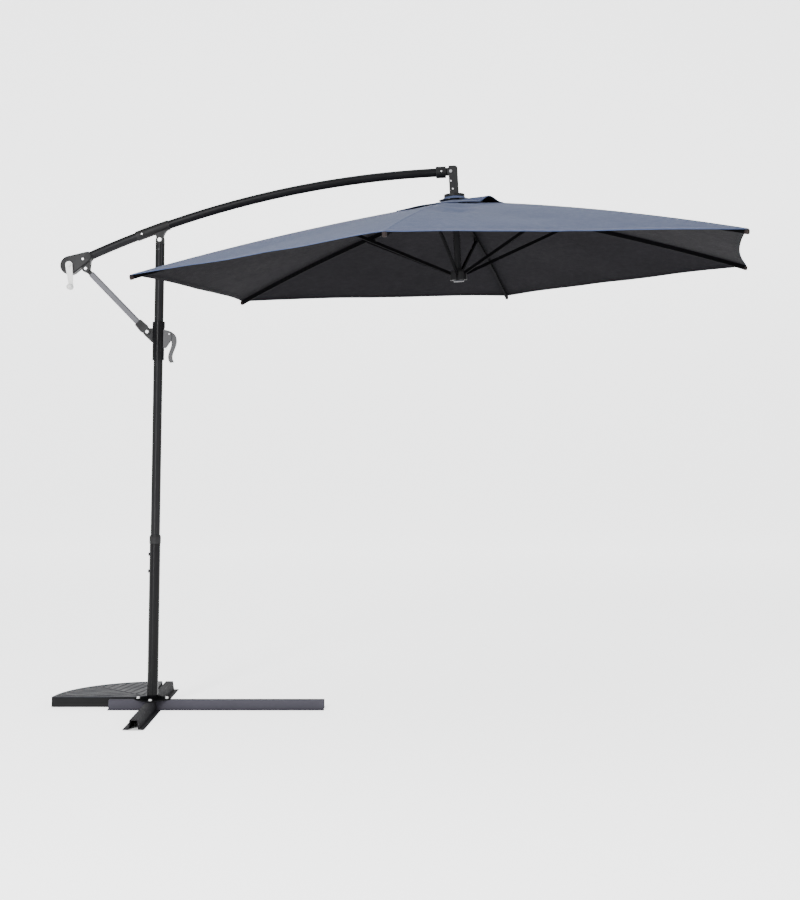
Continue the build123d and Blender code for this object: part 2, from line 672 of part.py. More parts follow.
def crank_parts():
    """The drum inside the housing, its shaft, the arm outside and the knob that turns on the arm's pin."""
    arm_y = -HOUSING_HALF - 9
    lean = radians(CRANK_LEAN)
    knob = (CRANK[0] + CRANK_LENGTH * sin(lean), CRANK[1] - CRANK_LENGTH * cos(lean))
    with BuildPart() as drum:
        with Locations(across(*CRANK)):
            Cylinder(DRUM_RADIUS, 30)
        with Locations(*[across(*CRANK, s * 16.5) for s in (-1, 1)]):
            Cylinder(34, 3)
        with Locations(across(*CRANK)):
            Cylinder(SHAFT_RADIUS, 60, mode=Mode.SUBTRACT)
    save("cord_drum", drum)
    with BuildPart() as shaft:
        with Locations(across(*CRANK, (arm_y + CAVITY_HALF + 4) / 2)):
            Cylinder(SHAFT_RADIUS, CAVITY_HALF + 4 - arm_y)
    save("crank_shaft", shaft)
    with BuildPart() as arm:
        with BuildSketch(Plane.XZ.offset(-arm_y - 4)):
            with Locations(CRANK):
                Circle(16)
            with Locations(knob):
                Circle(9)
            make_hull()
        extrude(amount=8)
        with Locations(across(*CRANK, arm_y - 6)):
            Cylinder(10, 4)
        with Locations(across(*CRANK, arm_y)):
            Cylinder(SHAFT_RADIUS, 9, mode=Mode.SUBTRACT)
        with Locations(across(*knob, arm_y - 24)):
            Cylinder(KNOB_PIN, 42)
    save("crank_arm", arm)
    with BuildPart() as grip:
        with Locations(across(*knob, arm_y - 4 - CHEEK_GAP - KNOB[1] / 2)):
            Cylinder(*KNOB)
        fillet(edges().filter_by(GeomType.CIRCLE), 4)
        with Locations(across(*knob, arm_y - 24)):
            Cylinder(KNOB_PIN + PIN_PLAY, 43, mode=Mode.SUBTRACT)
    save("crank_knob", grip)


# ---------------------------------------------------------------- elbow
def elbow_socket():
    """The boom's end piece: a sleeve and a slotted tongue with the pulley between its cheeks."""
    with BuildPart() as socket:
        boom_sleeve(SOCKET[0], SOCKET[1], SOCKET_RADIUS, 0)
        with BuildSketch(Plane.XZ):
            with Locations(ELBOW):
                Circle(17)
            with Locations((SOCKET[1] - 12, ELBOW[1])):
                Rectangle(ELBOW[0] - SOCKET[1] + 12, 34, align=(Align.MIN, Align.CENTER))
        extrude(amount=TONGUE, both=True)
        boom_sleeve(SOCKET[0] - 8, BOOM_FRONT_X, BOOM_RADIUS + SEAT_PLAY, 0, mode=Mode.SUBTRACT)
        with Locations((BOOM_FRONT_X - 4, 0, ELBOW[1])):
            Box(80, 9.4, 60, align=(Align.MIN, Align.CENTER, Align.CENTER), mode=Mode.SUBTRACT)
        with Locations(across(*ELBOW)):
            Cylinder(ELBOW_PIN + PIN_PLAY, 60, mode=Mode.SUBTRACT)
        with Locations(across(*SOCKET_SCREW)):
            Cylinder(SCREW_RADIUS, 80, mode=Mode.SUBTRACT)
    save("elbow_socket", socket)
    with BuildPart() as pulley:
        groove = 2 * CORD_RADIUS + 0.3
        bore = ELBOW_PIN + PIN_PLAY
        with BuildSketch(Plane((ELBOW[0], 0, ELBOW[1]))):
            with Locations((bore, 0)):
                Rectangle(PULLEY_RADIUS + 3 - bore, 8, align=(Align.MIN, Align.CENTER))
            with Locations((PULLEY_PITCH, 0)):
                Circle(groove / 2, mode=Mode.SUBTRACT)
                Rectangle(10, groove, align=(Align.MIN, Align.CENTER), mode=Mode.SUBTRACT)
        revolve(axis=Axis((ELBOW[0], 0, ELBOW[1]), (0, 1, 0)))
    save("elbow_pulley", pulley)


def elbow_fork():
    """The piece that hangs on the elbow pin: two ears on a block that holds the hanging pole."""
    side = within(HANG, Plane.XZ)
    with BuildPart() as fork:
        with BuildSketch(side):
            with Locations((-PULLEY_PITCH, 0)):
                Circle(17.5)
            with Locations((0, 0)):
                Rectangle(2 * FORK_HALF, 26, align=(Align.CENTER, Align.MIN))
            with Locations((0, 0)):
                Rectangle(2 * FORK_HALF, FORK_FOOT, align=(Align.CENTER, Align.MAX))
            fillet(vertices().sort_by(Axis((0, 0, 0), (1, 1, 0)))[-1:], FORK_ROUND)
        extrude(amount=FORK_HALF, both=True)
        with BuildSketch(side):
            with Locations((-PULLEY_PITCH, 0)):
                Circle(19)
            with Locations((9, 40)):
                Rectangle(80, 60, align=(Align.MAX, Align.MAX))
        extrude(amount=TONGUE + 0.5, both=True, mode=Mode.SUBTRACT)
        with BuildSketch(side):
            with Locations((-PULLEY_PITCH - 17.5, 0)):
                Rectangle(60, 60, align=(Align.MAX, Align.CENTER))
        extrude(amount=60, both=True, mode=Mode.SUBTRACT)
        with Locations(HANG.location * Location((0, 0, -FORK_FOOT))):
            upward = (Align.CENTER, Align.CENTER, Align.MIN)
            Cylinder(POLE_RADIUS + SEAT_PLAY, POLE_SOCKET + 2, align=upward, mode=Mode.SUBTRACT)
            Cylinder(CORD_RADIUS + 2, 90, align=upward, mode=Mode.SUBTRACT)
        with Locations(across(*ELBOW)):
            Cylinder(ELBOW_PIN, 60, mode=Mode.SUBTRACT)
    save("elbow_fork", fork)
    with BuildPart() as pin:
        with Locations(across(*ELBOW)):
            Cylinder(ELBOW_PIN, 2 * FORK_HALF)
        with Locations(*[across(*ELBOW, s * (FORK_HALF + 1.5)) for s in (-1, 1)]):
            Cylinder(7, 3)
    save("elbow_pin", pin)
    with BuildPart() as screws:
        places = [Location((x, -FORK_HALF - 1.5, z), (90, 0, 0)) for x, z in FORK_SCREWS]
        with Locations(*[HANG.location * place for place in places]):
            Cylinder(SCREW_HEAD, 3)
    save("fork_screws", screws)


# ---------------------------------------------------------------- crown and hubs
def down(drop, length=0):
    """A place on the hanging axis, that far below the elbow."""
    return HANG.location * Location((0, 0, -drop - length))


def rib_angles():
    return [FIRST_RIB_ANGLE + 360 / RIB_COUNT * i for i in range(RIB_COUNT)]


def spoke(angle, drop=CROWN_DROP):
    """A frame on the hanging axis whose x points outward along one rib."""
    return Plane(HANG.location * Location((0, 0, -drop), (0, 0, angle)))


def hanger_pole():
    with BuildPart() as pole:
        with BuildSketch(Plane(down(FORK_FOOT - POLE_SOCKET))):
            Circle(POLE_RADIUS)
            Circle(POLE_RADIUS - POLE_WALL, mode=Mode.SUBTRACT)
        extrude(amount=-(HUB_TOP + 6 - FORK_FOOT + POLE_SOCKET))
    save("hanger_pole", pole)
    with BuildPart() as plate:
        with BuildSketch(Plane(down(FORK_FOOT))):
            Circle(CAP_RADIUS)
        extrude(amount=-CAP_THICK)
        fillet(edges().filter_by(GeomType.CIRCLE), 3)
        with BuildSketch(Plane(down(FORK_FOOT + CAP_THICK))):
            Circle(CAP_STEP[0])
        extrude(amount=-CAP_STEP[1])
        with BuildSketch(Plane(down(FORK_FOOT))):
            Circle(POLE_RADIUS + SEAT_PLAY)
        extrude(amount=-40, mode=Mode.SUBTRACT)
    save("cap_plate", plate)


def crown_hub():
    """The upper hub, with a slot and a pin hole for each rib."""
    neck_top = FORK_FOOT + CAP_THICK + CAP_STEP[1]
    with BuildPart() as hub:
        with BuildSketch(Plane(down(CROWN_TOP))):
            Circle(CROWN_RADIUS)
        extrude(amount=CROWN_TOP - CROWN_FOOT)
        fillet(edges().filter_by(GeomType.CIRCLE), 2)
        with BuildSketch(Plane(down(neck_top))):
            Circle(CROWN_NECK)
        extrude(amount=neck_top - CROWN_TOP - 2)
        for angle in rib_angles():
            with Locations(spoke(angle).location * Location((20, 0, 9.5))):
                Box(60, RIB_WIDTH + 1, 60, align=(Align.MIN, Align.CENTER, Align.MAX), mode=Mode.SUBTRACT)
            with Locations(spoke(angle).location * Location((RIB_HINGE_RADIUS, 0, 0), (90, 0, 0))):
                Cylinder(SMALL_PIN + PIN_PLAY, 23, mode=Mode.SUBTRACT)
        with BuildSketch(Plane(down(FORK_FOOT))):
            Circle(POLE_RADIUS + SEAT_PLAY)
        extrude(amount=-80, mode=Mode.SUBTRACT)
    save("crown_hub", hub)


def lower_hub():
    """The hub that the cord hoists. Its slots are open above and below, so the stretchers can fold."""
    with BuildPart() as hub:
        with BuildSketch(Plane(down(HUB_TOP + 8))):
            Circle(HUB_RADIUS)
        extrude(amount=HUB_TOP + 8 - HUB_FOOT)
        fillet(edges().filter_by(GeomType.CIRCLE), 2)
        with BuildSketch(Plane(down(HUB_TOP))):
            Circle(20.2)
        extrude(amount=HUB_TOP - HUB_FOOT - 7)
        fillet(faces().sort_by(HANG_DOWN)[-1].edges(), 2)
        for angle in rib_angles():
            frame = spoke(angle, HUB_DROP).location
            with Locations(frame * Location((20.3, 0, 0))):
                Box(60, STRETCHER_WIDTH + 1, 120, align=(Align.MIN, Align.CENTER, Align.CENTER),
                    mode=Mode.SUBTRACT)
            with Locations(frame * Location((STRETCHER_HINGE_RADIUS, 0, 0), (90, 0, 0))):
                Cylinder(SMALL_PIN + PIN_PLAY, 20, mode=Mode.SUBTRACT)
            with Locations(frame * Location((STRETCHER_HINGE_RADIUS - SMALL_PIN - PIN_PLAY, 0, 0))):
                Box(9, 20, 60, align=(Align.MIN, Align.CENTER, Align.MAX), mode=Mode.SUBTRACT)
        with BuildSketch(Plane(down(HUB_TOP))):
            Circle(POLE_RADIUS + GAP)
        extrude(amount=-30, mode=Mode.SUBTRACT)
        with BuildSketch(Plane(down(HUB_TOP))):
            Circle(3)
        extrude(amount=-80, mode=Mode.SUBTRACT)
    save("lower_hub", hub)


# ---------------------------------------------------------------- ribs and stretchers
def rib_frame(angle):
    """A rib's own frame: x runs from its hinge to its tip, z is square to it, upward."""
    return Plane(spoke(angle).location * Location((RIB_HINGE_RADIUS, 0, 0), (0, degrees(RIB_SLOPE), 0)))


def bow(x):
    """How far a rib's axis stands above the line between its ends, at a distance along that line."""
    return sqrt(RIB_BEND**2 - (x - RIB_LENGTH / 2) ** 2) - RIB_BEND + RIB_BOW


def stretcher_reach():
    """A stretcher's outer hinge (radius, height) from the crown's hinge level, and its vector to the hub."""
    above = bow(STRETCHER_AT) - STRETCHER_BELOW
    radius = RIB_HINGE_RADIUS + STRETCHER_AT * cos(RIB_SLOPE) + above * sin(RIB_SLOPE)
    height = above * cos(RIB_SLOPE) - STRETCHER_AT * sin(RIB_SLOPE)
    inward = radius - STRETCHER_HINGE_RADIUS
    fall = height + HUB_DROP - CROWN_DROP
    return radius, height, inward, fall


def stretcher_frame(angle):
    """A stretcher's own frame: x runs from its outer hinge to its hinge on the lower hub."""
    radius, height, inward, fall = stretcher_reach()
    turn = Location((radius, 0, height), (0, 180 - degrees(atan2(fall, inward)), 0))
    return Plane(spoke(angle).location * turn)


def rib(name, angle):
    """A bowed square tube with a hinge tongue at the crown, a bracket for its stretcher and an end cap."""
    frame = rib_frame(angle)
    start = 16
    centre = (RIB_LENGTH / 2, RIB_BOW - RIB_BEND)
    lean = asin((RIB_LENGTH / 2 - start) / RIB_BEND)
    end_lean = asin(RIB_LENGTH / 2 / RIB_BEND)
    axis = frame.location * Location((centre[0], 0, centre[1]), (-90, 0, 0))
    bend_axis = Axis(Plane(axis).origin, Plane(axis).z_dir)
    bracket = (STRETCHER_AT, bow(STRETCHER_AT))
    with BuildPart() as bar:
        first = Plane((start, 0, bow(start)), x_dir=(0, 1, 0), z_dir=(cos(lean), 0, sin(lean)))
        with BuildSketch(within(frame, first)) as section:
            Rectangle(RIB_WIDTH, RIB_HEIGHT)
            Rectangle(RIB_WIDTH - 2 * RIB_WALL, RIB_HEIGHT - 2 * RIB_WALL, mode=Mode.SUBTRACT)
        revolve(section.sketch, axis=bend_axis, revolution_arc=degrees(lean + end_lean))
        with BuildSketch(within(frame, Plane.XZ)):
            Circle(8)
            with Locations((start / 2 + 3, 0)):
                Rectangle(start + 6, 2 * 7)
        extrude(amount=RIB_WIDTH / 2 - RIB_WALL, both=True)
        with Locations(frame.location * Location((0, 0, 0), (90, 0, 0))):
            Cylinder(SMALL_PIN, 22)
        with BuildSketch(within(frame, Plane.XZ)):
            with Locations((bracket[0], bracket[1] - STRETCHER_BELOW)):
                Circle(7.5)
            with Locations((bracket[0], bracket[1] - RIB_HEIGHT / 2)):
                Trapezoid(44, STRETCHER_BELOW - RIB_HEIGHT / 2, 60, rotation=180,
                          align=(Align.CENTER, Align.MIN))
        extrude(amount=8.2, both=True)
        with Locations(frame.location * Location((bracket[0], 0, bracket[1] - RIB_HEIGHT / 2))):
            Box(80, STRETCHER_WIDTH + 0.6, 40, align=(Align.CENTER, Align.CENTER, Align.MAX),
                mode=Mode.SUBTRACT)
        with Locations(frame.location * Location((bracket[0], 0, bracket[1] - STRETCHER_BELOW), (90, 0, 0))):
            Cylinder(SMALL_PIN + PIN_PLAY, 30, mode=Mode.SUBTRACT)
        with BuildSketch(within(frame, Plane.YZ.offset(RIB_LENGTH))):
            RectangleRounded(RIB_WIDTH + 2, RIB_HEIGHT + 2, 4)
        extrude(amount=8)
    save(name, bar)


def stretcher(name, angle):
    frame = stretcher_frame(angle)
    _, _, inward, fall = stretcher_reach()
    length = hypot(inward, fall)
    with BuildPart() as bar:
        with BuildSketch(within(frame, Plane.YZ.offset(8))):
            Rectangle(STRETCHER_WIDTH, STRETCHER_HEIGHT)
            Rectangle(STRETCHER_WIDTH - 2 * RIB_WALL, STRETCHER_HEIGHT - 2 * RIB_WALL, mode=Mode.SUBTRACT)
        extrude(amount=length - 16)
        with BuildSketch(within(frame, Plane.XZ)):
            for end, step in ((0, 1), (length, -1)):
                with Locations((end, 0)):
                    Circle(STRETCHER_HEIGHT / 2)
                with Locations((end + step * 6, 0)):
                    Rectangle(12, STRETCHER_HEIGHT)
        extrude(amount=STRETCHER_WIDTH / 2, both=True)
        with Locations(*[frame.location * Location((x, 0, 0), (90, 0, 0)) for x in (0, length)]):
            Cylinder(SMALL_PIN, 18)
    save(name, bar)


# ---------------------------------------------------------------- canopy
def rib_height(radius):
    """The height of a rib's axis above the crown's hinge level, at a radius."""
    along = (radius - RIB_HINGE_RADIUS) / cos(RIB_SLOPE)
    return bow(along) * cos(RIB_SLOPE) - along * sin(RIB_SLOPE)


def panel_plane(angle, side, near, far, height):
    """The plane beside a rib in which its line between two radii, and the next rib's, both lie."""
    slope = (rib_height(near) - rib_height(far)) / (far - near)
    frame = spoke(angle + side * 180 / RIB_COUNT)
    steep = degrees(atan2(slope / cos(radians(180 / RIB_COUNT)), 1))
    rise = height + rib_height(near) + near * slope
    return Plane(frame.location * Location((0, 0, rise), (0, steep, 0)))


def half_panel(angle, side, band, outer, hollow, height):
    """Half of a panel between two ribs, cut from an upright prism by the panel's two faces."""
    half = 180 / RIB_COUNT
    turn = radians(side * half)
    inner, near, far = band
    with BuildSketch(within(spoke(angle), Plane.XY.offset(-500))) as outline:
        Polygon((0, 0), (far, 0), (far * cos(turn) ** 2, far * cos(turn) * sin(turn)), align=None)
        if inner:
            Circle(inner, mode=Mode.SUBTRACT)
        if near:
            Polygon((0, 0), (near, 0), (near * cos(turn) ** 2, near * cos(turn) * sin(turn)), align=None,
                    mode=Mode.SUBTRACT)
        if far == outer:
            chord = outer * sin(radians(half))
            bend = (chord**2 + hollow**2) / (2 * hollow)
            beyond = outer * cos(radians(half)) - hollow + bend
            with Locations((beyond * cos(turn), beyond * sin(turn))):
                Circle(bend, mode=Mode.SUBTRACT)
    wedge = extrude(outline.sketch, amount=600, mode=Mode.PRIVATE)
    low = panel_plane(angle, side, near, min(far, RIB_TIP_RADIUS), height)
    high = panel_plane(angle, side, near, min(far, RIB_TIP_RADIUS), height + FABRIC)
    wedge = split(wedge, bisect_by=high, keep=Keep.BOTTOM, mode=Mode.PRIVATE)
    wedge = split(wedge, bisect_by=low, keep=Keep.TOP, mode=Mode.PRIVATE)
    add(wedge)


def canopy_sector(name, angle):
    """The cloth over one rib, to the middle of the panels beside it, and the vent cloth above."""
    above = RIB_HEIGHT / 2 / cos(RIB_SLOPE) + CANOPY_LIFT
    vent_above = above + FABRIC + VENT_GAP
    with BuildPart() as cloth:
        for side in (-1, 1):
            half_panel(angle, side, (CANOPY_OPENING, 0, CANOPY_BREAK), CANOPY_RADIUS, 0, above)
            half_panel(angle, side, (0, CANOPY_BREAK, CANOPY_RADIUS), CANOPY_RADIUS, CANOPY_HOLLOW, above)
            half_panel(angle, side, (VENT_INNER, 0, VENT_RADIUS), VENT_RADIUS, VENT_HOLLOW, vent_above)
    save(name, cloth)


# ---------------------------------------------------------------- hoist cord
def hoist_cord():
    """The cord from the drum along the boom to the pulley, and its run down the pole to the lower hub."""
    entry = boom_point(BOOM_REAR_X + 40, inward=CORD_INSET)
    leave, _ = cord_tangent(CRANK, PITCH, entry)
    middle = boom_point(420, inward=CORD_INSET)
    far = boom_point(SOCKET[0] + 9, inward=CORD_INSET)
    over, slope = cord_tangent(ELBOW, PULLEY_PITCH, far)
    wrap = (slope + pi / 2 + TILT) / 2
    crest = (ELBOW[0] + PULLEY_PITCH * cos(wrap), ELBOW[1] + PULLEY_PITCH * sin(wrap))
    with BuildPart() as cord:
        with BuildLine(Plane.XZ) as route:
            Line(leave, entry)
            ThreePointArc(entry, middle, far)
            Line(far, over)
            ThreePointArc(over, crest, (HANG.origin.X, HANG.origin.Z))
        for run in route.edges():
            with BuildSketch(Plane(origin=run @ 0, z_dir=run % 0)) as section:
                Circle(CORD_RADIUS)
            sweep(section.sketch, path=run)
        with Locations((entry[0], 0, entry[1]), (far[0], 0, far[1])):
            Sphere(CORD_RADIUS)
    save("hoist_cord", cord)
    with BuildPart() as drop:
        with BuildSketch(Plane(down(0))):
            Circle(CORD_RADIUS)
        extrude(amount=-HUB_FOOT)
    save("hoist_drop", drop)


base_bars()
base_slab()
mast_lower()
flange_bolts()
mast_joint()
mast_upper()
mast_head()
slide_collar()
clamp_parts()
strut_parts()
boom_tube()
boom_saddle()
crank_housing()
crank_parts()
elbow_socket()
elbow_fork()
hanger_pole()
crown_hub()
lower_hub()
for number, rib_angle in enumerate(rib_angles(), start=1):
    rib(f"rib_{number}", rib_angle)
    stretcher(f"stretcher_{number}", rib_angle)
    canopy_sector(f"canopy_{number}", rib_angle)
hoist_cord()
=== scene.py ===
"""A cantilever parasol: cloth, ballast slab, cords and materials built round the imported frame. Metres."""
import json
from math import asin, atan2, cos, hypot, pi, sin, sqrt

import bpy
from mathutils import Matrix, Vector, noise


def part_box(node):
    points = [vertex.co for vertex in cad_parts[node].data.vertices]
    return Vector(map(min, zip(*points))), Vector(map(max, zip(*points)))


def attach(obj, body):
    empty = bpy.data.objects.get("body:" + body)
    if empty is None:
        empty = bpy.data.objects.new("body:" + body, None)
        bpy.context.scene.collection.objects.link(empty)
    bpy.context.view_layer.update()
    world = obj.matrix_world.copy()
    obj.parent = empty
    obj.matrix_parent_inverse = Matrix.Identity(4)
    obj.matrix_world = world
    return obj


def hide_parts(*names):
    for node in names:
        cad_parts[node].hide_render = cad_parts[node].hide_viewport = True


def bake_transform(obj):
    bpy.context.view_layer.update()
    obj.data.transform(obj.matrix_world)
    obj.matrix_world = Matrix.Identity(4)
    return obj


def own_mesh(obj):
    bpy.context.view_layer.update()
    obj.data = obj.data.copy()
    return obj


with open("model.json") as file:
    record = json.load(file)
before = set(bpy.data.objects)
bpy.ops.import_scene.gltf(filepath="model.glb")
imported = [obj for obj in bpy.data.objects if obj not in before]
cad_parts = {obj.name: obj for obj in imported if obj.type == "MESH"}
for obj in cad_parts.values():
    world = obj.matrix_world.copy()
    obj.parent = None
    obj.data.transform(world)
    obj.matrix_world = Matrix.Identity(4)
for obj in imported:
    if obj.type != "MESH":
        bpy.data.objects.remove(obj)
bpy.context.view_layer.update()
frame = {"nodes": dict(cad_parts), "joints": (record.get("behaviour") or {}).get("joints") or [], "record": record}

JOINTS = {joint["name"]: joint for joint in frame["joints"]}
NODES = frame["nodes"]

# ---------------------------------------------------------------- camera
CAMERA_PLACE = (1.1045, -6.8812, 1.2218)
CAMERA_PITCH = 0.1048
CAMERA_LENS = 67.76
CAMERA_SHIFT = -0.219


def make_camera():
    data = bpy.data.cameras.new("camera")
    data.sensor_fit = "HORIZONTAL"
    data.sensor_width = 36
    data.lens = CAMERA_LENS
    data.shift_y = CAMERA_SHIFT
    camera = bpy.data.objects.new("camera", data)
    camera.location = CAMERA_PLACE
    camera.rotation_euler = (pi / 2 + CAMERA_PITCH, 0, 0)
    bpy.context.scene.collection.objects.link(camera)
    bpy.context.scene.camera = camera


make_camera()

# ---------------------------------------------------------------- places read from the frame
RIB_COUNT = 6
HALF_TURN = pi / RIB_COUNT
UP = -Vector(JOINTS["hub_slide"]["axis"]).normalized()
HINGES = [Vector(JOINTS[f"rib_{i}_fold"]["pos_m"]) for i in range(1, RIB_COUNT + 1)]
CROWN = sum(HINGES, Vector()) / RIB_COUNT
HINGE_RADIUS = (HINGES[0] - CROWN).length
OUTWARD = [(hinge - CROWN).normalized() for hinge in HINGES]
SIDEWAYS = [UP.cross(out) for out in OUTWARD]

RIB_TIP_RADIUS = 1.490
RIB_FALL = 0.311
RIB_BOW = 0.022
RIB_HALF_HEIGHT = 0.009
RIB_SLOPE = atan2(RIB_FALL, RIB_TIP_RADIUS - HINGE_RADIUS)
RIB_LENGTH = hypot(RIB_FALL, RIB_TIP_RADIUS - HINGE_RADIUS)
RIB_BEND = (RIB_LENGTH**2 / 4 + RIB_BOW**2) / (2 * RIB_BOW)

CLOTH_RADIUS = 1.500
CLOTH_HOLLOW = 0.034
CLOTH_OPENING = 0.150
CLOTH_THICK = 0.0012
CLOTH_CLEAR = 0.0035
CLOTH_SAG = 0.008
HEM_DROOP = 1.3
HEM_WIDTH = 0.022
HEM_THICK = 0.0009
SEAM_HALF = 0.006
SEAM_THICK = 0.0008
CLOTH_LIFT = RIB_HALF_HEIGHT / cos(RIB_SLOPE) + CLOTH_CLEAR
VENT_RADIUS = 0.285
VENT_INNER = 0.040
VENT_HOLLOW = 0.008


def cylinder_place(i, radius, angle, height):
    """A point beside rib i: its radius and angle round the hanging axis, and its height over the crown."""
    out = OUTWARD[i] * (radius * cos(angle)) + SIDEWAYS[i] * (radius * sin(angle))
    return CROWN + out + UP * height


def bow(along):
    """How far a rib's axis stands over the line between its ends."""
    return sqrt(max(RIB_BEND**2 - (along - RIB_LENGTH / 2) ** 2, 0)) - RIB_BEND + RIB_BOW


def rib_height(radius):
    """The height of a rib's axis over the crown's hinges, at a radius."""
    along = (radius - HINGE_RADIUS) / cos(RIB_SLOPE)
    return bow(min(max(along, -0.03), RIB_LENGTH + 0.02)) * cos(RIB_SLOPE) - along * sin(RIB_SLOPE)


def cloth_edge(angle, radius, hollow):
    """The radius of a cloth's hollow edge at an angle from the nearest rib."""
    chord = radius * sin(HALF_TURN)
    bend = (chord**2 + hollow**2) / (2 * hollow)
    beyond = radius * cos(HALF_TURN) - hollow + bend
    off = HALF_TURN - abs(angle)
    return beyond * cos(off) - sqrt(bend**2 - (beyond * sin(off)) ** 2)


# ---------------------------------------------------------------- materials
NOISE_LOW, NOISE_HIGH = 0.3, 0.7
EDGE_LOW, EDGE_HIGH = 0.53, 0.62
MIX_COLOUR_A, MIX_COLOUR_B, MIX_COLOUR_OUT = 6, 7, 2
COAT_GRAIN = 520.0
THREAD = 0.0016
STITCH_HALF = 0.0006
STITCH_PITCH = 0.0045
STITCH_SHARE = 0.72
SEAM_STITCHES = (0.0042,)
HEM_STITCHES = (0.003, 0.018)
FLOOR_GLOW = 1.9
# Half width and half length of the strip under the legs that gets no glow: painted shade.
PAINTED_SHADE_HALF_WIDTH = 0.043
PAINTED_SHADE_HALF_LENGTH = 0.50


def start_material(name):
    material = bpy.data.materials.new(name)
    material.use_nodes = True
    nodes = material.node_tree.nodes
    return material, nodes, material.node_tree.links, nodes["Principled BSDF"]


def add_node(nodes, kind, **values):
    node = nodes.new(kind)
    for key, value in values.items():
        if key in node.inputs:
            node.inputs[key].default_value = value
        else:
            setattr(node, key, value)
    return node


def object_coordinates(nodes):
    return add_node(nodes, "ShaderNodeTexCoord").outputs["Object"]


def noise_texture(nodes, links, place, scale, detail=4.0, roughness=0.55):
    texture = add_node(nodes, "ShaderNodeTexNoise", Scale=scale, Detail=detail, Roughness=roughness)
    links.new(place, texture.inputs["Vector"])
    return texture.outputs["Fac"]


def spread(nodes, links, value, low, high):
    """A noise value taken to a range."""
    node = add_node(nodes, "ShaderNodeMapRange")
    node.inputs["From Min"].default_value = NOISE_LOW
    node.inputs["From Max"].default_value = NOISE_HIGH
    node.inputs["To Min"].default_value = low
    node.inputs["To Max"].default_value = high
    links.new(value, node.inputs["Value"])
    return node.outputs["Result"]


def mix_colours(nodes, links, share, a, b):
    node = add_node(nodes, "ShaderNodeMix", data_type="RGBA")
    for socket, value in ((node.inputs[MIX_COLOUR_A], a), (node.inputs[MIX_COLOUR_B], b)):
        if isinstance(value, bpy.types.NodeSocket):
            links.new(value, socket)
        else:
            socket.default_value = (*value, 1)
    if isinstance(share, bpy.types.NodeSocket):
        links.new(share, node.inputs[0])
    else:
        node.inputs[0].default_value = share
    return node.outputs[MIX_COLOUR_OUT]


def calculate(nodes, links, operation, a, b=0.0):
    node = add_node(nodes, "ShaderNodeMath", operation=operation)
    for socket, value in ((node.inputs[0], a), (node.inputs[1], b)):
        if isinstance(value, bpy.types.NodeSocket):
            links.new(value, socket)
        else:
            socket.default_value = value
    return node.outputs[0]


def add_bump(nodes, links, shader, height, strength, distance):
    node = add_node(nodes, "ShaderNodeBump", Strength=strength, Distance=distance)
    links.new(height, node.inputs["Height"])
    links.new(node.outputs["Normal"], shader.inputs["Normal"])


def worn_edges(nodes, links):
    """High along outward edges, where a finish wears."""
    pointed = add_node(nodes, "ShaderNodeNewGeometry").outputs["Pointiness"]
    node = add_node(nodes, "ShaderNodeMapRange")
    node.inputs["From Min"].default_value = EDGE_LOW
    node.inputs["From Max"].default_value = EDGE_HIGH
    links.new(pointed, node.inputs["Value"])
    return node.outputs["Result"]


def coated_metal(name, dark, light, worn, rough=(0.34, 0.46), specular=0.5, dull_below=None):
    """Powder coat: slight mottling, orange peel, a paler tone on the edges, and no shine up to a height."""
    material, nodes, links, shader = start_material(name)
    place = object_coordinates(nodes)
    cloudy = noise_texture(nodes, links, place, 7.0)
    fine = noise_texture(nodes, links, place, COAT_GRAIN, 2.0)
    body = mix_colours(nodes, links, spread(nodes, links, cloudy, 0, 1), dark, light)
    edges = calculate(nodes, links, "MULTIPLY", worn_edges(nodes, links), 0.6)
    links.new(mix_colours(nodes, links, edges, body, worn), shader.inputs["Base Color"])
    links.new(spread(nodes, links, cloudy, *rough), shader.inputs["Roughness"])
    shader.inputs["Specular IOR Level"].default_value = specular
    if dull_below is not None:
        axes = add_node(nodes, "ShaderNodeSeparateXYZ")
        links.new(place, axes.inputs["Vector"])
        clean = calculate(nodes, links, "GREATER_THAN", axes.outputs["Z"], dull_below)
        links.new(calculate(nodes, links, "MULTIPLY", clean, specular), shader.inputs["Specular IOR Level"])
    add_bump(nodes, links, shader, fine, 0.12, 0.0004)
    return material


def moulded_plastic(name, dark, light, worn, rough=(0.42, 0.58), specular=0.45):
    """Moulded nylon: fine spark-eroded grain and faint flow marks."""
    material, nodes, links, shader = start_material(name)
    place = object_coordinates(nodes)
    stretched = add_node(nodes, "ShaderNodeMapping")
    stretched.inputs["Scale"].default_value = (1, 1, 0.25)
    links.new(place, stretched.inputs["Vector"])
    flow = noise_texture(nodes, links, stretched.outputs["Vector"], 26.0, 3.0)
    grain = add_node(nodes, "ShaderNodeTexVoronoi", Scale=900.0)
    links.new(place, grain.inputs["Vector"])
    body = mix_colours(nodes, links, spread(nodes, links, flow, 0, 1), dark, light)
    edges = calculate(nodes, links, "MULTIPLY", worn_edges(nodes, links), 0.5)
    links.new(mix_colours(nodes, links, edges, body, worn), shader.inputs["Base Color"])
    links.new(spread(nodes, links, flow, *rough), shader.inputs["Roughness"])
    shader.inputs["Specular IOR Level"].default_value = specular
    add_bump(nodes, links, shader, grain.outputs["Distance"], 0.18, 0.0003)
    return material


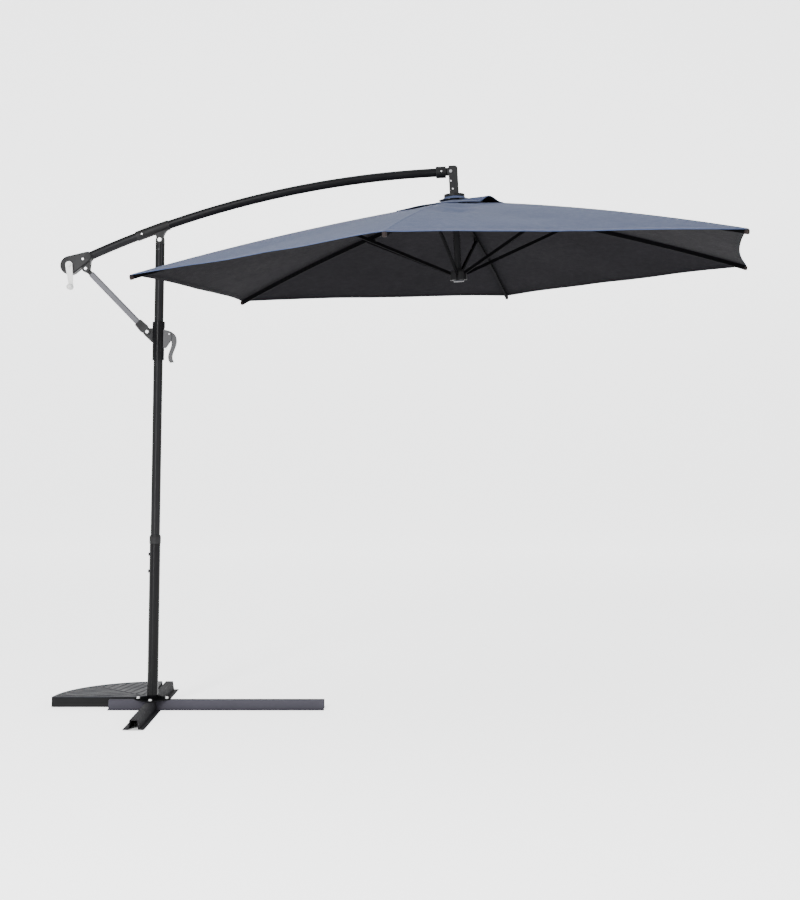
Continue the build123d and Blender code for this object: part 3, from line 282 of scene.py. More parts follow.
def bare_metal(name, dark, light, metallic, rough=(0.28, 0.42), stretch=(1, 1, 14)):
    """Plated or cast metal with drawn-out marks and slight staining."""
    material, nodes, links, shader = start_material(name)
    place = object_coordinates(nodes)
    drawn = add_node(nodes, "ShaderNodeMapping")
    drawn.inputs["Scale"].default_value = stretch
    links.new(place, drawn.inputs["Vector"])
    marks = noise_texture(nodes, links, drawn.outputs["Vector"], 90.0, 3.0)
    stains = noise_texture(nodes, links, place, 35.0, 5.0)
    tone = calculate(nodes, links, "MULTIPLY", marks, 0.5)
    tone = calculate(nodes, links, "ADD", tone, calculate(nodes, links, "MULTIPLY", stains, 0.5))
    links.new(
        mix_colours(nodes, links, spread(nodes, links, tone, 0, 1), dark, light), shader.inputs["Base Color"]
    )
    links.new(spread(nodes, links, tone, *rough), shader.inputs["Roughness"])
    shader.inputs["Metallic"].default_value = metallic
    add_bump(nodes, links, shader, marks, 0.10, 0.0003)
    return material


def slab_stone(name, dark, light, grain):
    """Dark cast composite: sandy speckle, pale scuffs on the raised edges."""
    material, nodes, links, shader = start_material(name)
    place = object_coordinates(nodes)
    cloudy = noise_texture(nodes, links, place, 9.0, 5.0)
    sand = noise_texture(nodes, links, place, 620.0, 2.0, 0.7)
    body = mix_colours(nodes, links, spread(nodes, links, cloudy, 0, 1), dark, light)
    grains = calculate(nodes, links, "GREATER_THAN", sand, 0.60)
    body = mix_colours(nodes, links, calculate(nodes, links, "MULTIPLY", grains, 0.45), body, grain)
    edges = calculate(nodes, links, "MULTIPLY", worn_edges(nodes, links), 0.7)
    links.new(mix_colours(nodes, links, edges, body, grain), shader.inputs["Base Color"])
    links.new(spread(nodes, links, cloudy, 0.5, 0.68), shader.inputs["Roughness"])
    shader.inputs["Specular IOR Level"].default_value = 0.12
    add_bump(nodes, links, shader, sand, 0.35, 0.0006)
    return material


def weave_height(nodes, links):
    """The height of a plain weave over the cloth's own coordinates, and the node that splits them."""
    cloth = add_node(nodes, "ShaderNodeUVMap", uv_map="cloth")
    split = add_node(nodes, "ShaderNodeSeparateXYZ")
    links.new(cloth.outputs["UV"], split.inputs["Vector"])
    waves = []
    for axis in ("X", "Y"):
        turned = calculate(nodes, links, "MULTIPLY", split.outputs[axis], pi / THREAD)
        waves.append(calculate(nodes, links, "SINE", turned))
    return calculate(nodes, links, "MULTIPLY", *waves), split


def stitch_mask(nodes, links, across, along, offsets):
    """High on the threads of stitch lines at the given distances from a seam or edge."""
    lines = None
    for offset in offsets:
        off = calculate(nodes, links, "ABSOLUTE", calculate(nodes, links, "SUBTRACT", across, offset))
        line = calculate(nodes, links, "LESS_THAN", off, STITCH_HALF)
        lines = line if lines is None else calculate(nodes, links, "MAXIMUM", lines, line)
    dash = calculate(nodes, links, "FRACT", calculate(nodes, links, "DIVIDE", along, STITCH_PITCH))
    thread = calculate(nodes, links, "LESS_THAN", dash, STITCH_SHARE)
    return calculate(nodes, links, "MULTIPLY", lines, thread)


def parasol_cloth(name, dark, light, thread_colour, rough, crease_tone, sheen):
    """Coated polyester canvas: weave, soft creases, shade from age, and stitching on seams and hems."""
    material, nodes, links, shader = start_material(name)
    place = object_coordinates(nodes)
    weave, cloth = weave_height(nodes, links)
    edge = add_node(nodes, "ShaderNodeUVMap", uv_map="edge")
    edge_axes = add_node(nodes, "ShaderNodeSeparateXYZ")
    links.new(edge.outputs["UV"], edge_axes.inputs["Vector"])
    seam_side = calculate(nodes, links, "ABSOLUTE", cloth.outputs["Y"])
    seams = stitch_mask(nodes, links, seam_side, cloth.outputs["X"], SEAM_STITCHES)
    hems = stitch_mask(nodes, links, edge_axes.outputs["Y"], edge_axes.outputs["X"], HEM_STITCHES)
    stitches = calculate(nodes, links, "MAXIMUM", seams, hems)
    cloudy = noise_texture(nodes, links, place, 3.2, 5.0, 0.6)
    mottled = noise_texture(nodes, links, place, 38.0, 4.0, 0.6)
    body = mix_colours(nodes, links, spread(nodes, links, cloudy, 0, 1), dark, light)
    body = mix_colours(nodes, links, spread(nodes, links, mottled, 0, 0.22), body, crease_tone)
    slub = spread(nodes, links, weave, 0, 0.10)
    body = mix_colours(nodes, links, slub, body, crease_tone)
    links.new(mix_colours(nodes, links, stitches, body, thread_colour), shader.inputs["Base Color"])
    links.new(spread(nodes, links, mottled, *rough), shader.inputs["Roughness"])
    shader.inputs["Specular IOR Level"].default_value = 0.03 + sheen
    shader.inputs["Sheen Weight"].default_value = sheen
    shader.inputs["Sheen Roughness"].default_value = 0.5
    creases = noise_texture(nodes, links, place, 11.0, 3.0, 0.5)
    height = calculate(nodes, links, "ADD", calculate(nodes, links, "MULTIPLY", weave, 0.10), creases)
    height = calculate(nodes, links, "ADD", height, calculate(nodes, links, "MULTIPLY", stitches, 0.5))
    add_bump(nodes, links, shader, height, 0.35, 0.0025)
    return material


def cord_braid(name, dark, light):
    material, nodes, links, shader = start_material(name)
    place = object_coordinates(nodes)
    braid = add_node(nodes, "ShaderNodeTexWave", Scale=260.0, Distortion=1.5, bands_direction="DIAGONAL")
    links.new(place, braid.inputs["Vector"])
    links.new(mix_colours(nodes, links, braid.outputs["Fac"], dark, light), shader.inputs["Base Color"])
    links.new(spread(nodes, links, braid.outputs["Fac"], 0.7, 0.9), shader.inputs["Roughness"])
    add_bump(nodes, links, shader, braid.outputs["Fac"], 0.5, 0.0005)
    return material


def floor_paper(name):
    """Pale paper that glows, except in a strip under the legs left dark as painted shade, so that their open ends
    are dark inside.
    """
    material, nodes, links, shader = start_material(name)
    place = object_coordinates(nodes)
    cloudy = noise_texture(nodes, links, place, 0.8, 2.0)
    links.new(
        mix_colours(nodes, links, spread(nodes, links, cloudy, 0, 1), (0.90, 0.90, 0.90), (0.92, 0.92, 0.92)),
        shader.inputs["Base Color"],
    )
    links.new(spread(nodes, links, cloudy, 0.85, 0.95), shader.inputs["Roughness"])
    shader.inputs["Specular IOR Level"].default_value = 0.1
    shader.inputs["Emission Color"].default_value = (1.0, 1.0, 1.0, 1)
    # No glow in a strip under the legs: painted shade inside their open ends.
    axes = add_node(nodes, "ShaderNodeSeparateXYZ")
    links.new(place, axes.inputs["Vector"])
    aside = calculate(nodes, links, "ABSOLUTE", axes.outputs["X"])
    beside = calculate(nodes, links, "GREATER_THAN", aside, PAINTED_SHADE_HALF_WIDTH)
    along = calculate(nodes, links, "ABSOLUTE", axes.outputs["Y"])
    beyond = calculate(nodes, links, "GREATER_THAN", along, PAINTED_SHADE_HALF_LENGTH)
    glow = calculate(nodes, links, "MAXIMUM", beside, beyond)
    links.new(calculate(nodes, links, "MULTIPLY", glow, FLOOR_GLOW), shader.inputs["Emission Strength"])
    return material


BLACK_COAT = coated_metal(
    "black_powder_coat",
    (0.0060, 0.0060, 0.0068), (0.0092, 0.0092, 0.0102),
    (0.026, 0.026, 0.028), (0.26, 0.36),
    specular=0.06,
)
MAST_COAT = coated_metal(
    "mast_powder_coat",
    (0.0024, 0.0024, 0.0028), (0.0040, 0.0040, 0.0045),
    (0.014, 0.014, 0.015), (0.22, 0.28),
    specular=0.10, dull_below=0.062,
)
# The ribs and stretchers under the canopy: a darker, duller copy of the black coat, painted shade.
RIB_COAT_PAINTED_SHADE = coated_metal(
    "rib_powder_coat_painted_shade",
    (0.0014, 0.0014, 0.0016), (0.0024, 0.0024, 0.0027),
    (0.005, 0.005, 0.006), (0.6, 0.72),
    specular=0.01,
)
# The long bar: a paler, bluer copy of the base's black coat, painted light on the side that faces the lamps.
BASE_COAT_PAINTED_LIGHT = coated_metal(
    "base_powder_coat_painted_light",
    (0.0295, 0.0275, 0.0370), (0.0390, 0.0365, 0.0485),
    (0.062, 0.060, 0.071), (0.5, 0.62),
    specular=0.01,
)
# The legs: a darker copy of the same coat, painted shade on their tops.
LEG_COAT_PAINTED_SHADE = coated_metal(
    "leg_powder_coat_painted_shade",
    (0.0064, 0.0062, 0.0070), (0.0100, 0.0097, 0.0110),
    (0.024, 0.0235, 0.026), (0.5, 0.62),
    specular=0.01,
)
BLACK_NYLON = moulded_plastic(
    "black_nylon", (0.0054, 0.0054, 0.0058), (0.0082, 0.0082, 0.0086), (0.020, 0.020, 0.021), specular=0.14
)
GREY_NYLON = moulded_plastic("grey_nylon", (0.34, 0.34, 0.34), (0.42, 0.42, 0.41), (0.50, 0.50, 0.49))
TIP_NYLON = moulded_plastic(
    "tip_nylon", (0.012, 0.0090, 0.0090), (0.019, 0.0145, 0.0140), (0.040, 0.033, 0.032), specular=0.05
)
STRUT_COAT = coated_metal(
    "strut_grey_coat", (0.034, 0.0335, 0.040), (0.044, 0.0435, 0.051), (0.08, 0.08, 0.09), specular=0.2
)
LEVER_CAST = bare_metal(
    "lever_casting", (0.008, 0.008, 0.009), (0.026, 0.026, 0.029), 0.2, (0.42, 0.58), (1, 1, 3)
)
CRANK_PLATE = bare_metal("crank_plating", (0.24, 0.24, 0.24), (0.44, 0.44, 0.43), 0.3)
STEEL = bare_metal("drawn_steel", (0.30, 0.30, 0.31), (0.42, 0.42, 0.43), 0.9)
BOLT_WHITE = bare_metal("bolt_plating", (0.66, 0.66, 0.66), (0.80, 0.80, 0.80), 0.25, (0.3, 0.4), (1, 1, 1))
KNOB_BLACK = moulded_plastic(
    "screw_knob", (0.0060, 0.0060, 0.0064), (0.0092, 0.0092, 0.0096), (0.03, 0.03, 0.03), (0.3, 0.45), 0.2
)
SLAB_CAST = slab_stone(
    "slab_composite", (0.0105, 0.0108, 0.0138), (0.0195, 0.0200, 0.0245), (0.058, 0.060, 0.069)
)
# The slab's walls and bottom: a much darker copy of its cast, painted shade on the sides.
SLAB_SIDE_PAINTED_SHADE = slab_stone(
    "slab_skirt_painted_shade", (0.0018, 0.0018, 0.0020), (0.0032, 0.0032, 0.0035), (0.008, 0.008, 0.009)
)
CLOTH_TOP = parasol_cloth(
    "canvas_top",
    (0.040, 0.055, 0.110), (0.050, 0.067, 0.128),
    (0.072, 0.090, 0.158), (0.70, 0.84),
    (0.032, 0.044, 0.090), 0.06,
)
# The underside of the canopy cloth: a much darker copy of the same canvas, painted shade under the canopy.
CLOTH_UNDER_PAINTED_SHADE = parasol_cloth(
    "canvas_underside_painted_shade",
    (0.0038, 0.0035, 0.0046), (0.0053, 0.0049, 0.0063),
    (0.012, 0.012, 0.014), (0.8, 0.92),
    (0.0030, 0.0028, 0.0036), 0.0,
)
CORD = cord_braid("braided_cord", (0.20, 0.20, 0.20), (0.36, 0.36, 0.35))

SLOT_MATERIALS = {
    "frame_black": BLACK_COAT,
    "plastic_black": BLACK_NYLON,
    "plastic_grey": GREY_NYLON,
    "strut_grey": STRUT_COAT,
    "lever_grey": LEVER_CAST,
    "crank_silver": CRANK_PLATE,
    "steel": STEEL,
    "bolt_bright": BOLT_WHITE,
    "bolt_black": KNOB_BLACK,
    "slab_dark": SLAB_CAST,
    "canopy_cloth": CLOTH_TOP,
    "cord_grey": CORD,
}
# The long bar takes the paler copy of the coat (painted light), the legs the darker one (painted shade).
NODE_MATERIALS = {"base_bar_long": BASE_COAT_PAINTED_LIGHT, "base_leg_near": LEG_COAT_PAINTED_SHADE, "base_leg_far": LEG_COAT_PAINTED_SHADE}
for name in ("mast_lower", "mast_upper", "slide_collar", "hanger_pole"):
    NODE_MATERIALS[name] = MAST_COAT
# Ribs and stretchers take the darker copy of the coat: painted shade.
for number in range(1, RIB_COUNT + 1):
    NODE_MATERIALS[f"rib_{number}"] = RIB_COAT_PAINTED_SHADE
    NODE_MATERIALS[f"stretcher_{number}"] = RIB_COAT_PAINTED_SHADE


def finish_nodes():
    """Each CAD piece takes its own material, or else its slot's."""
    slots = {row["node"]: row["material_slot"] for row in frame["record"]["subparts"]}
    for name, node in NODES.items():
        material = NODE_MATERIALS.get(name, SLOT_MATERIALS[slots[name]])
        node.data.materials.clear()
        node.data.materials.append(material)


finish_nodes()


# ---------------------------------------------------------------- mesh helpers
SHARP_ANGLE = 0.7


def link_mesh(name, points, faces, materials, tags=None):
    """A smooth-shaded object with sharp corners; tags give each face's material."""
    mesh = bpy.data.meshes.new(name)
    mesh.from_pydata([tuple(point) for point in points], [], faces)
    for material in materials:
        mesh.materials.append(material)
    if tags:
        mesh.polygons.foreach_set("material_index", tags)
    mesh.polygons.foreach_set("use_smooth", [True] * len(faces))
    mesh.update()
    mesh.set_sharp_from_angle(angle=SHARP_ANGLE)
    made = bpy.data.objects.new(name, mesh)
    bpy.context.scene.collection.objects.link(made)
    return made


def add_map(piece, name, values):
    """A UV map given by one (u, v) pair for each vertex."""
    layer = piece.data.uv_layers.new(name=name)
    for loop in piece.data.loops:
        layer.data[loop.index].uv = values[loop.vertex_index]


def two_sided_sheet(name, rows, columns, place, thickness, flat_maps, materials):
    """A closed sheet over a grid, with its own material beneath: place gives a mid point and a normal."""
    count = rows * columns
    top, under, maps = [], [], {key: [] for key in flat_maps}
    for r in range(rows):
        for c in range(columns):
            middle, normal = place(r, c)
            half = thickness(r, c) / 2
            top.append(middle + normal * half)
            under.append(middle - normal * half)
            for key, value in flat_maps.items():
                maps[key].append(value(r, c))
    faces, tags = [], []
    for r in range(rows - 1):
        for c in range(columns - 1):
            a, b = r * columns + c, r * columns + c + 1
            d, e = a + columns, b + columns
            faces += [(a, d, e, b), (a + count, b + count, e + count, d + count)]
            # Faces beneath take the second material; on the canopy that is the darker copy of the canvas, painted
            # shade.
            tags += [0, 1]
    rim = [r * columns for r in range(rows)] + [(rows - 1) * columns + c for c in range(1, columns)]
    rim += [r * columns + columns - 1 for r in range(rows - 2, -1, -1)] + list(range(columns - 2, 0, -1))
    for k, a in enumerate(rim):
        b = rim[(k + 1) % len(rim)]
        faces.append((a, a + count, b + count, b))
        tags.append(0)
    made = link_mesh(name, top + under, faces, materials, tags)
    for key, values in maps.items():
        add_map(made, key, values + values)
    return made


# ---------------------------------------------------------------- canopy
VENT_ROWS = 16
VENT_LIFT = 0.005
BILLOW_PANEL = 4
BILLOW_PLACE = 0.80
BILLOW_HALF = 0.19
BILLOW_LIFT = 0.031
DENTS = ((0.46, 0.20, 0.13, 0.11, 0.013), (0.70, 0.16, 0.17, 0.12, 0.017))
SPREADS = 15
SECTOR_ROWS = 44
SEAM_SPOTS = (-SEAM_HALF - 0.001, -SEAM_HALF, 0.0, SEAM_HALF, SEAM_HALF + 0.001)
SEAM_GAP = 0.004
HEM_SPOTS = (HEM_WIDTH + 0.0015, HEM_WIDTH, HEM_WIDTH / 2, 0.0008, 0.0)
ON_THE_LINE = 0.0003
TIP_FOLD_DEPTH = 0.0022
TIP_FOLD_REACH = 0.42
TIP_FOLD_START = 0.03
INNER_FOLD_DEPTH = 0.0018
INNER_FOLD_REACH = 0.35
SLOW_WAVE = 0.006
FINE_WAVE = 0.0016


def soft_step(value):
    """From 0 to 1 with level ends."""
    value = min(max(value, 0.0), 1.0)
    return value * value * (3 - 2 * value)


def panel_height(radius, angle):
    """The height of the tight cloth between two ribs: straight from rib to rib over their bowed tops."""
    off = HALF_TURN - abs(angle)
    same = radius * cos(off) / cos(HALF_TURN)
    return rib_height(same)


def column_spots():
    """The grid's columns: close together at the seam, even out to the middle of the panels."""
    shares = [k / SPREADS for k in range(1, SPREADS + 1)]
    return [("even", -share) for share in reversed(shares)] + [("seam", spot) for spot in SEAM_SPOTS] + [
        ("even", share) for share in shares
    ]


COLUMNS = column_spots()


def column_angle(column, radius):
    """The angle of a column of the grid from its rib, at a radius."""
    kind, value = COLUMNS[column]
    if kind == "seam":
        return asin(min(value / radius, 0.5))
    start = asin((SEAM_HALF + 0.001) / radius) + SEAM_GAP / radius
    angle = start + (HALF_TURN - start) * (abs(value) * SPREADS - 1) / (SPREADS - 1)
    return angle if value > 0 else -angle


def row_radius(row, rows, inner, outer):
    """Radii of the grid's rows along one column: even, then close together over the hem."""
    plain = rows - len(HEM_SPOTS)
    if row < plain:
        return inner + (outer - HEM_SPOTS[0] - inner) * row / plain
    return outer - HEM_SPOTS[row - plain]


def dents(i, radius, angle):
    """Two soft dents in the slack cloth of one panel, beside the vent."""
    panel = i if angle > 0 else (i - 1) % RIB_COUNT
    if panel != BILLOW_PANEL:
        return 0
    across = angle if angle > 0 else 2 * HALF_TURN + angle
    total = 0
    for middle, turn, long, wide, depth in DENTS:
        off = hypot((radius - middle) / long, (across - turn) * radius / wide)
        total -= depth * soft_step(1 - off)
    return total


def cloth_relief(i, radius, angle):
    """Sag, creases at the tips and slow waves, the same on both sides of a line between two sectors."""
    out = CLOTH_RADIUS - radius
    share = (radius - CLOTH_OPENING) / (CLOTH_RADIUS - CLOTH_OPENING)
    between = (1 - cos(angle * RIB_COUNT)) / 2
    sag = -CLOTH_SAG * between * (HEM_DROOP * share**2 + 0.65 * sin(pi * min(max(share, 0), 1)))
    place = cylinder_place(i, radius, angle, 0) - CROWN
    slow = noise.noise(place * 2.6) * SLOW_WAVE * between
    fold = noise.noise(Vector((place.x * 9, place.y * 9, 3.7))) * FINE_WAVE * between
    fan = hypot(out, radius * angle)
    spoke_angle = atan2(radius * angle, max(out, 1e-4))
    tip_fold = TIP_FOLD_DEPTH * sin(spoke_angle * 11 + i * 1.7)
    tip_fold = tip_fold * soft_step(1 - fan / TIP_FOLD_REACH)
    tip_fold = tip_fold * soft_step(abs(angle) * radius / TIP_FOLD_START)
    inner_fold = INNER_FOLD_DEPTH * sin(angle * 42 + i)
    inner_fold = inner_fold * soft_step(1 - (radius - CLOTH_OPENING) / INNER_FOLD_REACH) * between
    return sag + slow + fold + tip_fold + inner_fold + dents(i, radius, angle)


def cloth_point(i, radius, angle):
    height = panel_height(radius, angle) + CLOTH_LIFT + cloth_relief(i, radius, angle)
    return cylinder_place(i, radius, angle, height)


def surface_normal(point_at, radius, angle):
    """The upward normal of a surface given by radius and angle."""
    step = 0.002
    out = point_at(radius + step, angle) - point_at(radius - step, angle)
    turn = step / max(radius, 0.02)
    along = point_at(radius, angle + turn) - point_at(radius, angle - turn)
    normal = out.cross(along).normalized()
    return normal if normal.dot(UP) > 0 else -normal


def cloth_maps(spot):
    """A cloth's two maps: along and across its weave, and along and in from its edge."""

    def lengthwise(row, column):
        radius, angle, _ = spot(row, column)
        return radius * cos(angle), radius * sin(angle)

    def from_edge(row, column):
        radius, angle, outer = spot(row, column)
        return radius * angle, outer - radius

    return {"cloth": lengthwise, "edge": from_edge}


def canopy_cloth(i):
    """The main cloth over rib i, as far as the middle of the panels beside it."""
    rows = SECTOR_ROWS + len(HEM_SPOTS)

    def spot(row, column):
        outer = cloth_edge(0, CLOTH_RADIUS, CLOTH_HOLLOW)
        angle = column_angle(column, outer)
        for _ in range(3):
            outer = cloth_edge(angle, CLOTH_RADIUS, CLOTH_HOLLOW)
            radius = row_radius(row, rows, CLOTH_OPENING, outer)
            angle = column_angle(column, radius)
        return radius, angle, outer

    def place(row, column):
        radius, angle, _ = spot(row, column)
        point = cloth_point(i, radius, angle)
        return point, surface_normal(lambda r, a: cloth_point(i, r, a), radius, angle)

    def thickness(row, column):
        radius, angle, outer = spot(row, column)
        hem = HEM_THICK if outer - radius < HEM_WIDTH + ON_THE_LINE else 0
        seam = SEAM_THICK if abs(radius * sin(angle)) < SEAM_HALF + ON_THE_LINE else 0
        return CLOTH_THICK + 2 * max(hem, seam)

    name = f"canopy_cloth_{i + 1}"
    # Beneath, the darker copy of the canvas: painted shade.
    piece = two_sided_sheet(
        name, rows, len(COLUMNS), place, thickness, cloth_maps(spot), [CLOTH_TOP, CLOTH_UNDER_PAINTED_SHADE]
    )
    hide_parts(f"canopy_{i + 1}")
    return piece


def vent_lift(i, radius, angle):
    """How far the vent cloth stands over the main cloth: held at the cap and the ribs, free between them."""
    panel = i if angle > 0 else (i - 1) % RIB_COUNT
    across = angle / (2 * HALF_TURN) if angle > 0 else 1 + angle / (2 * HALF_TURN)
    share = min(max((radius - VENT_INNER) / (VENT_RADIUS - VENT_INNER), 0), 1)
    lift = 0.0035 + 0.006 * (1 - share) ** 2 + VENT_LIFT * (1 - cos(angle * RIB_COUNT)) / 2 * share
    if panel == BILLOW_PANEL:
        off = min(abs(across - BILLOW_PLACE) / BILLOW_HALF, 1)
        lift += BILLOW_LIFT * share**0.8 * (1 + cos(pi * off)) / 2
    return lift


def vent_point(i, radius, angle):
    height = panel_height(radius, angle) + CLOTH_LIFT + vent_lift(i, radius, angle)
    return cylinder_place(i, radius, angle, height)


def vent_flap(i):
    """The small upper cloth that covers the opening."""
    rows = VENT_ROWS + len(HEM_SPOTS)

    def spot(row, column):
        radius = VENT_RADIUS
        for _ in range(3):
            angle = column_angle(column, max(radius, 0.05))
            outer = cloth_edge(angle, VENT_RADIUS, VENT_HOLLOW)
            radius = row_radius(row, rows, VENT_INNER, outer)
        return radius, angle, outer

    def place(row, column):
        radius, angle, _ = spot(row, column)
        return vent_point(i, radius, angle), surface_normal(lambda r, a: vent_point(i, r, a), radius, angle)

    def thickness(row, column):
        radius, _, outer = spot(row, column)
        return CLOTH_THICK + (2 * HEM_THICK if outer - radius < HEM_WIDTH + ON_THE_LINE else 0)

    name = f"vent_flap_{i + 1}"
    # Beneath, the darker copy of the canvas: painted shade.
    return two_sided_sheet(
        name, rows, len(COLUMNS), place, thickness, cloth_maps(spot), [CLOTH_TOP, CLOTH_UNDER_PAINTED_SHADE]
    )


def hang_cloth(piece, i):
    """The piece folds with its rib, on a mesh of its own."""
    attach(piece, f"rib_{i + 1}")
    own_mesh(piece)


for number in range(RIB_COUNT):
    main_cloth = canopy_cloth(number)
    hang_cloth(main_cloth, number)
    flap = vent_flap(number)
    hang_cloth(flap, number)


# ---------------------------------------------------------------- ballast slab
SLAB_RADIUS = 0.460
SLAB_CORNER = 0.012
SLAB_CUT = 0.0962
SLAB_BEVEL = 0.004
SLAB_COLUMNS = 220
SLAB_ROWS = 110
VEIN_PITCH = 0.044
VEIN_HALF = 0.0045
VEIN_LEAN = 0.60
VEIN_DEPTH = 0.0028
BORDER = 0.024


def slab_span(turn, edge):
    """Where a ray from the mast enters and leaves the slab, at an angle from the nearer bar."""
    centre = SLAB_RADIUS - SLAB_CORNER
    lean = asin((edge + SLAB_CORNER) / centre)
    middle = centre * cos(turn - lean)
    half = sqrt(max(SLAB_CORNER**2 - (centre * sin(turn - lean)) ** 2, 0))
    near = max(edge / sin(turn), SLAB_CUT / (sin(turn) + cos(turn)))
    far = middle + half if turn < lean else SLAB_RADIUS
    if near * cos(turn) > centre * cos(lean):
        near = middle - half
    return near, max(far, near + 1e-5)


def vein_depth(along, aside, inset):
    """A leaf of grooves: a spine, veins that lean off it, and a border round them."""
    shift = (along - VEIN_LEAN * abs(aside)) / VEIN_PITCH
    vein = abs(shift - round(shift)) * VEIN_PITCH / hypot(1, VEIN_LEAN)
    line = min(vein if inset > BORDER else 1, abs(aside) if inset > BORDER else 1, abs(inset - BORDER))
    return VEIN_DEPTH * soft_step(1.5 * (1 - line / VEIN_HALF))


def ballast_slab():
    """The cast quarter slab on the flanges behind the mast, with its leaf relief."""
    low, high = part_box("base_slab")
    edge = low[1]
    centre = SLAB_RADIUS - SLAB_CORNER
    first = asin((edge + SLAB_CORNER) / centre) - asin(SLAB_CORNER / centre)
    points = []
    for column in range(SLAB_COLUMNS + 1):
        turn = first + 1e-4 + (pi / 2 - 2 * first - 2e-4) * column / SLAB_COLUMNS
        near, far = slab_span(min(turn, pi / 2 - turn), edge)
        for row in range(SLAB_ROWS + 1):
            share = row / SLAB_ROWS
            radius = near + (far - near) * share
            x, y = radius * sin(turn), radius * cos(turn)
            inset = min(SLAB_RADIUS - radius, x - edge, y - edge, (x + y - SLAB_CUT) / sqrt(2))
            drop = SLAB_BEVEL * (1 - soft_step(inset / SLAB_BEVEL))
            drop += vein_depth(radius * cos(turn - pi / 4), radius * sin(turn - pi / 4), inset)
            points.append((-x, y, high[2] - drop))
    wide = SLAB_ROWS + 1
    faces = []
    for column in range(SLAB_COLUMNS):
        for row in range(SLAB_ROWS):
            a = column * wide + row
            faces.append((a, a + 1, a + wide + 1, a + wide))
    last = SLAB_COLUMNS * wide
    rim = list(range(0, last, wide)) + list(range(last, last + SLAB_ROWS))
    rim += list(range(last + SLAB_ROWS, SLAB_ROWS, -wide)) + list(range(SLAB_ROWS, 0, -1))
    walls = len(points)
    points += [(points[k][0], points[k][1], low[2]) for k in rim]
    # The walls and the bottom take the darker copy of the cast: painted shade.
    tags = [0] * len(faces) + [1] * (len(rim) + 1)
    for k in range(len(rim)):
        after = (k + 1) % len(rim)
        faces.append((rim[k], rim[after], walls + after, walls + k))
    faces.append(tuple(range(walls, walls + len(rim))))
    slab = link_mesh("ballast_slab", points, faces, [SLAB_CAST, SLAB_SIDE_PAINTED_SHADE], tags)
    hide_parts("base_slab")
    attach(slab, "base")


ballast_slab()


# ---------------------------------------------------------------- turned and moulded trim
def turned(name, profile, centre, axis, materials, count=72, ripple=None):
    """A closed profile of (radius, height) points turned round an axis through a place."""
    up = Vector(axis).normalized()
    side = up.orthogonal().normalized()
    front = up.cross(side)
    points = []
    for k in range(count):
        angle = 2 * pi * k / count
        for n, (radius, height) in enumerate(profile):
            wide = radius + (ripple(n, angle) if ripple else 0)
            points.append(Vector(centre) + (side * cos(angle) + front * sin(angle)) * wide + up * height)
    size = len(profile)
    faces = []
    for k in range(count):
        for n in range(size):
            a, b = k * size + n, k * size + (n + 1) % size
            c, d = ((k + 1) % count) * size + (n + 1) % size, ((k + 1) % count) * size + n
            faces.append((a, b, c, d))
    return link_mesh(name, points, faces, materials)


def drop_of(node, highest):
    """The height over the crown's hinges, along the hanging axis, of a node's highest or lowest point."""
    heights = [(Vector(vertex.co) - CROWN).dot(UP) for vertex in NODES[node].data.vertices]
    return max(heights) if highest else min(heights)


NODE_DROPS = {
    "cap_plate": drop_of("cap_plate", False) + 0.005,
    "lower_hub": drop_of("lower_hub", False) + 0.001,
    "hoist_drop_top": drop_of("hoist_drop", True),
    "hoist_drop_foot": drop_of("hoist_drop", False),
}
GATHERS = 34
GATHER_DEPTH = 0.0011
FERRULE_HALF_WIDTH = 0.0080
FERRULE_HALF_HEIGHT = 0.0108
FERRULE_POWER = 0.55
CORD_RADIUS = 0.002


def cap_collar():
    """The crown of the vent cloth, gathered up under the cap plate."""
    profile = [(0.037, 0.0010), (0.046, 0.0010), (0.049, -0.0030), (0.058, -0.0085), (0.072, -0.0125)]
    profile += [(0.072, -0.0135), (0.056, -0.0100), (0.046, -0.0055), (0.037, -0.0040)]

    def gathers(n, angle):
        return GATHER_DEPTH * sin(GATHERS * angle) if 1 < n < 5 else 0

    base = CROWN + UP * NODE_DROPS["cap_plate"]
    piece = turned("cap_collar", profile, base, UP, [CLOTH_TOP], 6 * GATHERS, gathers)
    for name in ("cloth", "edge"):
        add_map(piece, name, [(vertex.co.x, vertex.co.y + 0.05) for vertex in piece.data.vertices])
    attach(piece, "hanger")


def hub_ring():
    """The ring pressed on the lower hub's spigot."""
    base = CROWN + UP * NODE_DROPS["lower_hub"]
    profile = [(0.0200, 0.0045), (0.0228, 0.0045), (0.0236, 0.0035)]
    profile += [(0.0236, 0.0005), (0.0228, -0.0005), (0.0200, -0.0005)]
    piece = turned("hub_ring", profile, base, UP, [STRUT_COAT])
    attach(piece, "hub")


def rib_ferrule(i):
    """The moulded cap over a rib's end."""
    out = (OUTWARD[i] * cos(RIB_SLOPE) - UP * sin(RIB_SLOPE)).normalized()
    over = SIDEWAYS[i].cross(out) * -1
    tip = HINGES[i] + out * RIB_LENGTH
    steps = ((-0.006, 0.90), (-0.005, 1.0), (0.005, 1.0), (0.0085, 0.94), (0.0103, 0.78), (0.0110, 0.45))
    count = 28
    points = []
    for along, size in steps:
        for k in range(count):
            turn = 2 * pi * k / count
            wide = FERRULE_HALF_WIDTH * size * abs(cos(turn)) ** FERRULE_POWER * (1 if cos(turn) > 0 else -1)
            tall = FERRULE_HALF_HEIGHT * size * abs(sin(turn)) ** FERRULE_POWER * (1 if sin(turn) > 0 else -1)
            points.append(tip + out * along + SIDEWAYS[i] * wide + over * tall)
    faces = [tuple(reversed(range(count))), tuple(range((len(steps) - 1) * count, len(steps) * count))]
    for n in range(len(steps) - 1):
        for k in range(count):
            a, b = n * count + k, n * count + (k + 1) % count
            faces.append((a, b, b + count, a + count))
    piece = link_mesh(f"rib_ferrule_{i + 1}", points, faces, [TIP_NYLON])
    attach(piece, f"rib_{i + 1}")


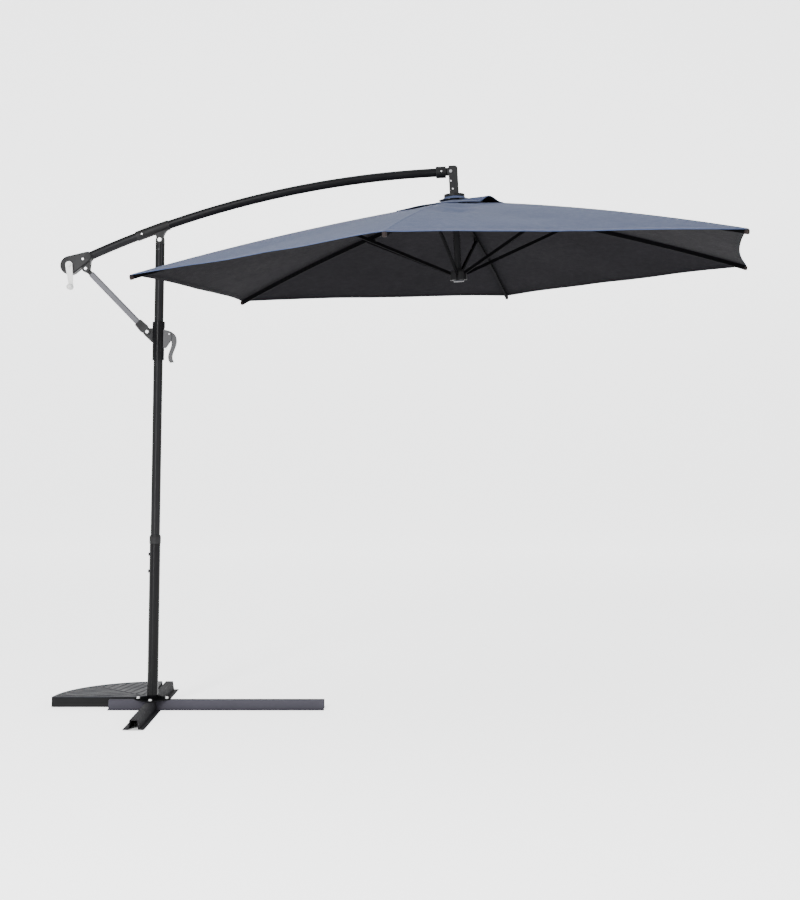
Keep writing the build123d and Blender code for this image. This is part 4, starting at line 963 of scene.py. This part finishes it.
def hoist_line():
    """The braided cord down the pole, from the top to the foot of the hoist drop."""
    top = CROWN + UP * NODE_DROPS["hoist_drop_top"]
    foot = CROWN + UP * NODE_DROPS["hoist_drop_foot"]
    count, rings = 16, 60
    side = UP.orthogonal().normalized()
    front = UP.cross(side)
    points = []
    for ring in range(rings + 1):
        centre = top.lerp(foot, ring / rings)
        for k in range(count):
            angle = 2 * pi * k / count
            points.append(centre + (side * cos(angle) + front * sin(angle)) * CORD_RADIUS)
    faces = [tuple(range(count)), tuple(reversed(range(rings * count, (rings + 1) * count)))]
    for ring in range(rings):
        for k in range(count):
            a, b = ring * count + k, ring * count + (k + 1) % count
            faces.append((a, a + count, b + count, b))
    piece = link_mesh("hoist_line", points, faces, [CORD])
    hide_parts("hoist_drop")
    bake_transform(piece)


cap_collar()
hub_ring()
hoist_line()
for number in range(RIB_COUNT):
    rib_ferrule(number)


# ---------------------------------------------------------------- floor and light
def make_floor():
    """A pale sheet that curves up behind the object."""
    width, front, back, rise, bend = 30.0, -14.0, 9.0, 12.0, 4.0
    profile = [(front, 0.0), (back, 0.0)]
    profile += [(back + bend * sin(a * pi / 24), bend - bend * cos(a * pi / 24)) for a in range(1, 13)]
    profile.append((back + bend, rise))
    points = [(side * width / 2, y, z) for y, z in profile for side in (-1, 1)]
    faces = [(2 * k, 2 * k + 1, 2 * k + 3, 2 * k + 2) for k in range(len(profile) - 1)]
    link_mesh("studio_floor", points, faces, [floor_paper("floor_paper")])


def make_light(name, place, aim, size, power):
    """A rectangular lamp that faces a point."""
    data = bpy.data.lights.new(name, "AREA")
    data.shape = "RECTANGLE"
    data.size, data.size_y = size
    data.energy = power
    light = bpy.data.objects.new(name, data)
    light.location = place
    light.rotation_euler = (Vector(aim) - Vector(place)).to_track_quat("-Z", "Y").to_euler()
    bpy.context.scene.collection.objects.link(light)


def make_world():
    """A dim, even, slightly cool surrounding."""
    world = bpy.data.worlds.new("studio")
    world.use_nodes = True
    back = world.node_tree.nodes["Background"]
    back.inputs["Color"].default_value = (0.95, 0.98, 1.0, 1)
    back.inputs["Strength"].default_value = 0.62
    bpy.context.scene.world = world


make_floor()
make_world()
make_light("key", (-1.6, -6.5, 5.0), (0.8, 0, 1.6), (1.4, 3.0), 520)
make_light("fill", (6.0, -4.5, 4.0), (1.0, 0, 1.5), (2.0, 3.0), 220)
make_light("strip", (-1.7, -6.4, 1.9), (0, 0, 1.2), (0.4, 4.0), 260)
make_light("overhead", (1.0, 0.5, 8.0), (1.0, 0, 0), (6.0, 6.0), 140)
